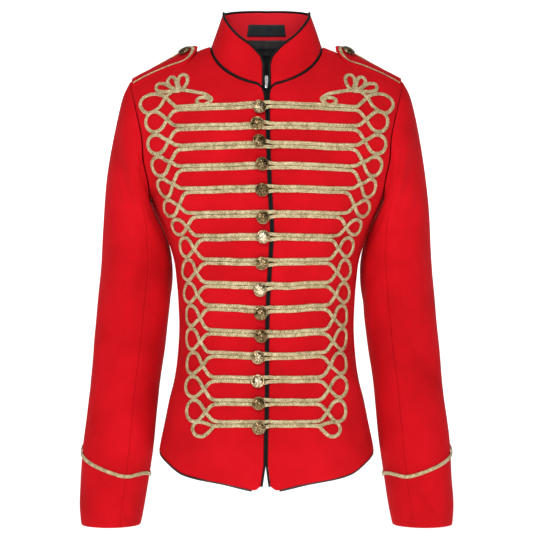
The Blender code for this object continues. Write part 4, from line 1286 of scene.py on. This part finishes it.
def makeStraps():
    for name, title, side in sides:
        lay = onStrap(side)
        length = strapForm["outer"] - strapForm["tip"]

        def place(u, w):
            reach = length * u
            narrow = min(1.0, math.sqrt(max(length - reach, 1.2) / strapForm["round"]))
            return lay(reach, strapForm["half"] * narrow * (2 * w - 1), 0.0)

        def offset(u, w, point):
            rim = min(w, 1 - w) * 46
            wander = 0.5 * ripple(point.x, point.y, 0, 22) * softStep(rim / 6)
            return seamPull(rim, 0.8, 2.0) + seamPull((1 - u) * length, 0.8, 2.0) + wander

        strap = clothPiece(f"shoulderStrap{title}", [f"shoulder_strap_{name}"], place,
                           -side, 60, 30, (97, 46), offset, tight=0.3, lining=redTwill,
                           thickness=strapForm["wall"], tightRows=0.6)
        half, end = strapForm["half"] - strapForm["braidIn"], length - strapForm["braidWidth"]
        path = [(3, -half), (30, -half), (60, -half), (end - 14, -half), (end - 4, -half * 0.6),
                (end, 0), (end - 4, half * 0.6), (end - 14, half), (60, half), (30, half),
                (3, half)]
        cord = [(along, across, -strapForm["braidSunk"]) for along, across in path]
        braidCords(f"strapBraid{title}", [f"strap_braid_{name}"], [cord], lay,
                   strapForm["braidWidth"])


makeStraps()
print("cuff braid and straps made")


# buttons: domed, with a twisted rim and a plain rosette

buttonForm = {
    "profile": ((0.0, 1.2), (1.7, 1.2), (1.7, 2.6), (8.6, 2.9), (9.7, 3.3), (10.0, 4.0), (9.8, 4.6),
                (9.2, 5.1), (8.5, 5.0), (7.9, 4.9), (7.3, 5.4), (6.5, 5.85), (5.7, 6.2), (4.9, 6.5),
                (4.1, 6.75), (3.3, 6.95), (2.5, 7.1), (1.7, 7.2), (0.9, 7.25), (0.0, 7.3)),
    "petals": 8,
    "rimTwists": 28,
    "turns": 56,
    "onBraid": 2.6,
    "lean": (0.1, 0.17, 0.2),  # aside, how unevenly aside, how unevenly up
    # painted highlight and shade on each front button, from the top: a positive value is a painted
    # glint, a negative one painted shade
    "paintedShine": (0.18, -0.04, -0.04, -0.08, -0.14, -0.05, 0.34, 0.02, 0.34, -0.04, -0.1, 0.2, 0.3,
             -0.04, 0.04),
}


def buttonMesh(number):
    mesh = bmesh.new()
    profile = buttonForm["profile"]
    verts = [mesh.verts.new((out, 0, up)) for out, up in profile]
    edges = [mesh.edges.new(ends) for ends in zip(verts, verts[1:])]
    bmesh.ops.spin(mesh, geom=verts + edges, cent=(0, 0, 0), axis=(0, 0, 1), angle=2 * math.pi,
                   steps=buttonForm["turns"], use_merge=True)
    bmesh.ops.remove_doubles(mesh, verts=mesh.verts, dist=0.01)
    bmesh.ops.recalc_face_normals(mesh, faces=mesh.faces)
    layer = mesh.verts.layers.float.new("reliefAndShine")
    paintedGlint = buttonForm["paintedShine"][number - 1] if number <= len(buttonForm["paintedShine"]) else 0.0
    for vert in mesh.verts:
        out = math.hypot(vert.co.x, vert.co.y)
        turn = math.atan2(vert.co.y, vert.co.x)
        reliefAndShine = 0.35
        if vert.co.z > 3.8:
            rim = math.exp(-((out - 9.3) / 0.7) ** 2)
            twist = 0.5 + 0.5 * math.sin(buttonForm["rimTwists"] * turn + 2.2 * out)
            petal = (0.5 + 0.5 * math.cos(buttonForm["petals"] * turn + number)) ** 1.5
            leaf = petal * math.exp(-((out - 4.7) / 1.9) ** 2)
            beads = (0.5 + 0.5 * math.cos(20 * turn)) * math.exp(-((out - 7.1) / 0.45) ** 2)
            boss = math.exp(-(out / 1.5) ** 2)
            vert.co.z += 0.28 * rim * twist + 0.32 * leaf + 0.2 * beads + 0.25 * boss
            reliefAndShine = 0.3 + 0.3 * rim * (0.6 + 0.4 * twist) + 0.3 * leaf + 0.3 * beads + 0.3 * boss
            reliefAndShine += 0.2 * ripple(vert.co.x, vert.co.y, number * 10, 2.6)
            # painted shine: a positive value lightens the middle of the face as a painted highlight, a
            # negative one darkens the whole face as painted shade
            reliefAndShine += paintedGlint * (1 if paintedGlint < 0 else math.exp(-(out / 8) ** 4))
        vert[layer] = min(max(reliefAndShine, 0.0), 1.0)
    return mesh


def addButton(name, node, place, u, w, off, number):
    along = place(u + 1, w, off) - place(u - 1, w, off)
    up = place(u, w + 1, off) - place(u, w - 1, off)
    outward = along.cross(up).normalized()
    if outward.dot(place(u, w, off + 1) - place(u, w, off)) < 0:
        outward.negate()
    # each hangs a little its own way on its thread
    lean, aside, rise = buttonForm["lean"]
    outward = (outward + Vector((lean + aside * math.sin(number * 2.3), 0.0,
                                 rise * math.cos(number * 1.9)))).normalized()
    mesh = buttonMesh(number)
    settle(mesh, outward.to_track_quat("Z", "Y").to_matrix(), place(u, w, off))
    finishMesh(name, mesh, [node], agedBrass)


def makeButtons():
    for number, (row, x) in enumerate(zip(braidRows, buttonPlaces), 1):
        addButton(f"frontButton{number:02d}", f"button_{number:02d}", onFront(-1), -x, row[0],
                  buttonForm["onBraid"], number)
    for name, title, side in sides:
        addButton(f"strapButton{title}", f"strap_button_{name}", onStrap(side),
                  strapForm["button"], 0.0, 0.2, 20 + side)


makeButtons()
print("buttons made")


# stage, camera and light

stageForm = {"floor": -0.86, "back": 4.6, "half": 5.0, "front": -4.0, "sweep": 0.8, "wall": 4.0}


def makeStage():
    mesh = bmesh.new()
    line = [(stageForm["front"], stageForm["floor"])]
    for step in range(13):
        turn = step / 12 * math.pi / 2
        line.append((stageForm["back"] - stageForm["sweep"] * (1 - math.sin(turn)),
                     stageForm["floor"] + stageForm["sweep"] * (1 - math.cos(turn))))
    line.append((stageForm["back"], stageForm["wall"]))
    verts = [mesh.verts.new((-stageForm["half"], y, z)) for y, z in line]
    edges = [mesh.edges.new(ends) for ends in zip(verts, verts[1:])]
    made = bmesh.ops.extrude_edge_only(mesh, edges=edges)
    moved = [item for item in made["geom"] if isinstance(item, bmesh.types.BMVert)]
    bmesh.ops.translate(mesh, vec=(2 * stageForm["half"], 0, 0), verts=moved)
    bmesh.ops.recalc_face_normals(mesh, faces=mesh.faces)
    if mesh.faces[:][0].normal.z < 0:
        bmesh.ops.reverse_faces(mesh, faces=mesh.faces)
    data = bpy.data.meshes.new("stage")
    mesh.to_mesh(data)
    mesh.free()
    data.shade_smooth()
    data.materials.append(stageMaterial())
    sweep = bpy.data.objects.new("stage", data)
    bpy.context.collection.objects.link(sweep)


makeStage()

cameraForm = {"distance": 2.6, "height": -0.325, "view": 0.8, "sensor": 36.0}
camera = bpy.data.cameras.new("camera")
camera.sensor_width = cameraForm["sensor"]
camera.lens = cameraForm["sensor"] * cameraForm["distance"] / cameraForm["view"]
cameraObject = bpy.data.objects.new("camera", camera)
cameraObject.location = (0.0, -cameraForm["distance"], cameraForm["height"])
cameraObject.rotation_euler = (math.pi / 2, 0, 0)
bpy.context.collection.objects.link(cameraObject)
bpy.context.scene.camera = cameraObject

lightForm = {
    # place, aim, width, power
    "key": ((-0.9, -2.9, 1.3), (0.0, 0.0, -0.25), 1.0, 50.0),
    "fill": ((1.1, -2.9, 0.1), (0.0, 0.0, -0.35), 1.4, 20.0),
    "top": ((0.0, -0.6, 2.2), (0.0, 0.0, 0.0), 1.4, 12.0),
}
for lightName, (place, aim, width, power) in lightForm.items():
    light = bpy.data.lights.new(lightName, "AREA")
    light.size = width
    light.energy = power
    lightObject = bpy.data.objects.new(lightName, light)
    lightObject.location = place
    lightObject.rotation_euler = (Vector(aim) - Vector(place)).to_track_quat("-Z", "Y").to_euler()
    bpy.context.collection.objects.link(lightObject)

worldStrength = 0.12
world = bpy.data.worlds.new("studio")
world.use_nodes = True
background = world.node_tree.nodes["Background"]
background.inputs["Color"].default_value = (1.0, 1.0, 1.0, 1.0)
background.inputs["Strength"].default_value = worldStrength
bpy.context.scene.world = world
bpy.context.scene.view_settings.view_transform = "Standard"
print("stage, camera and light made")
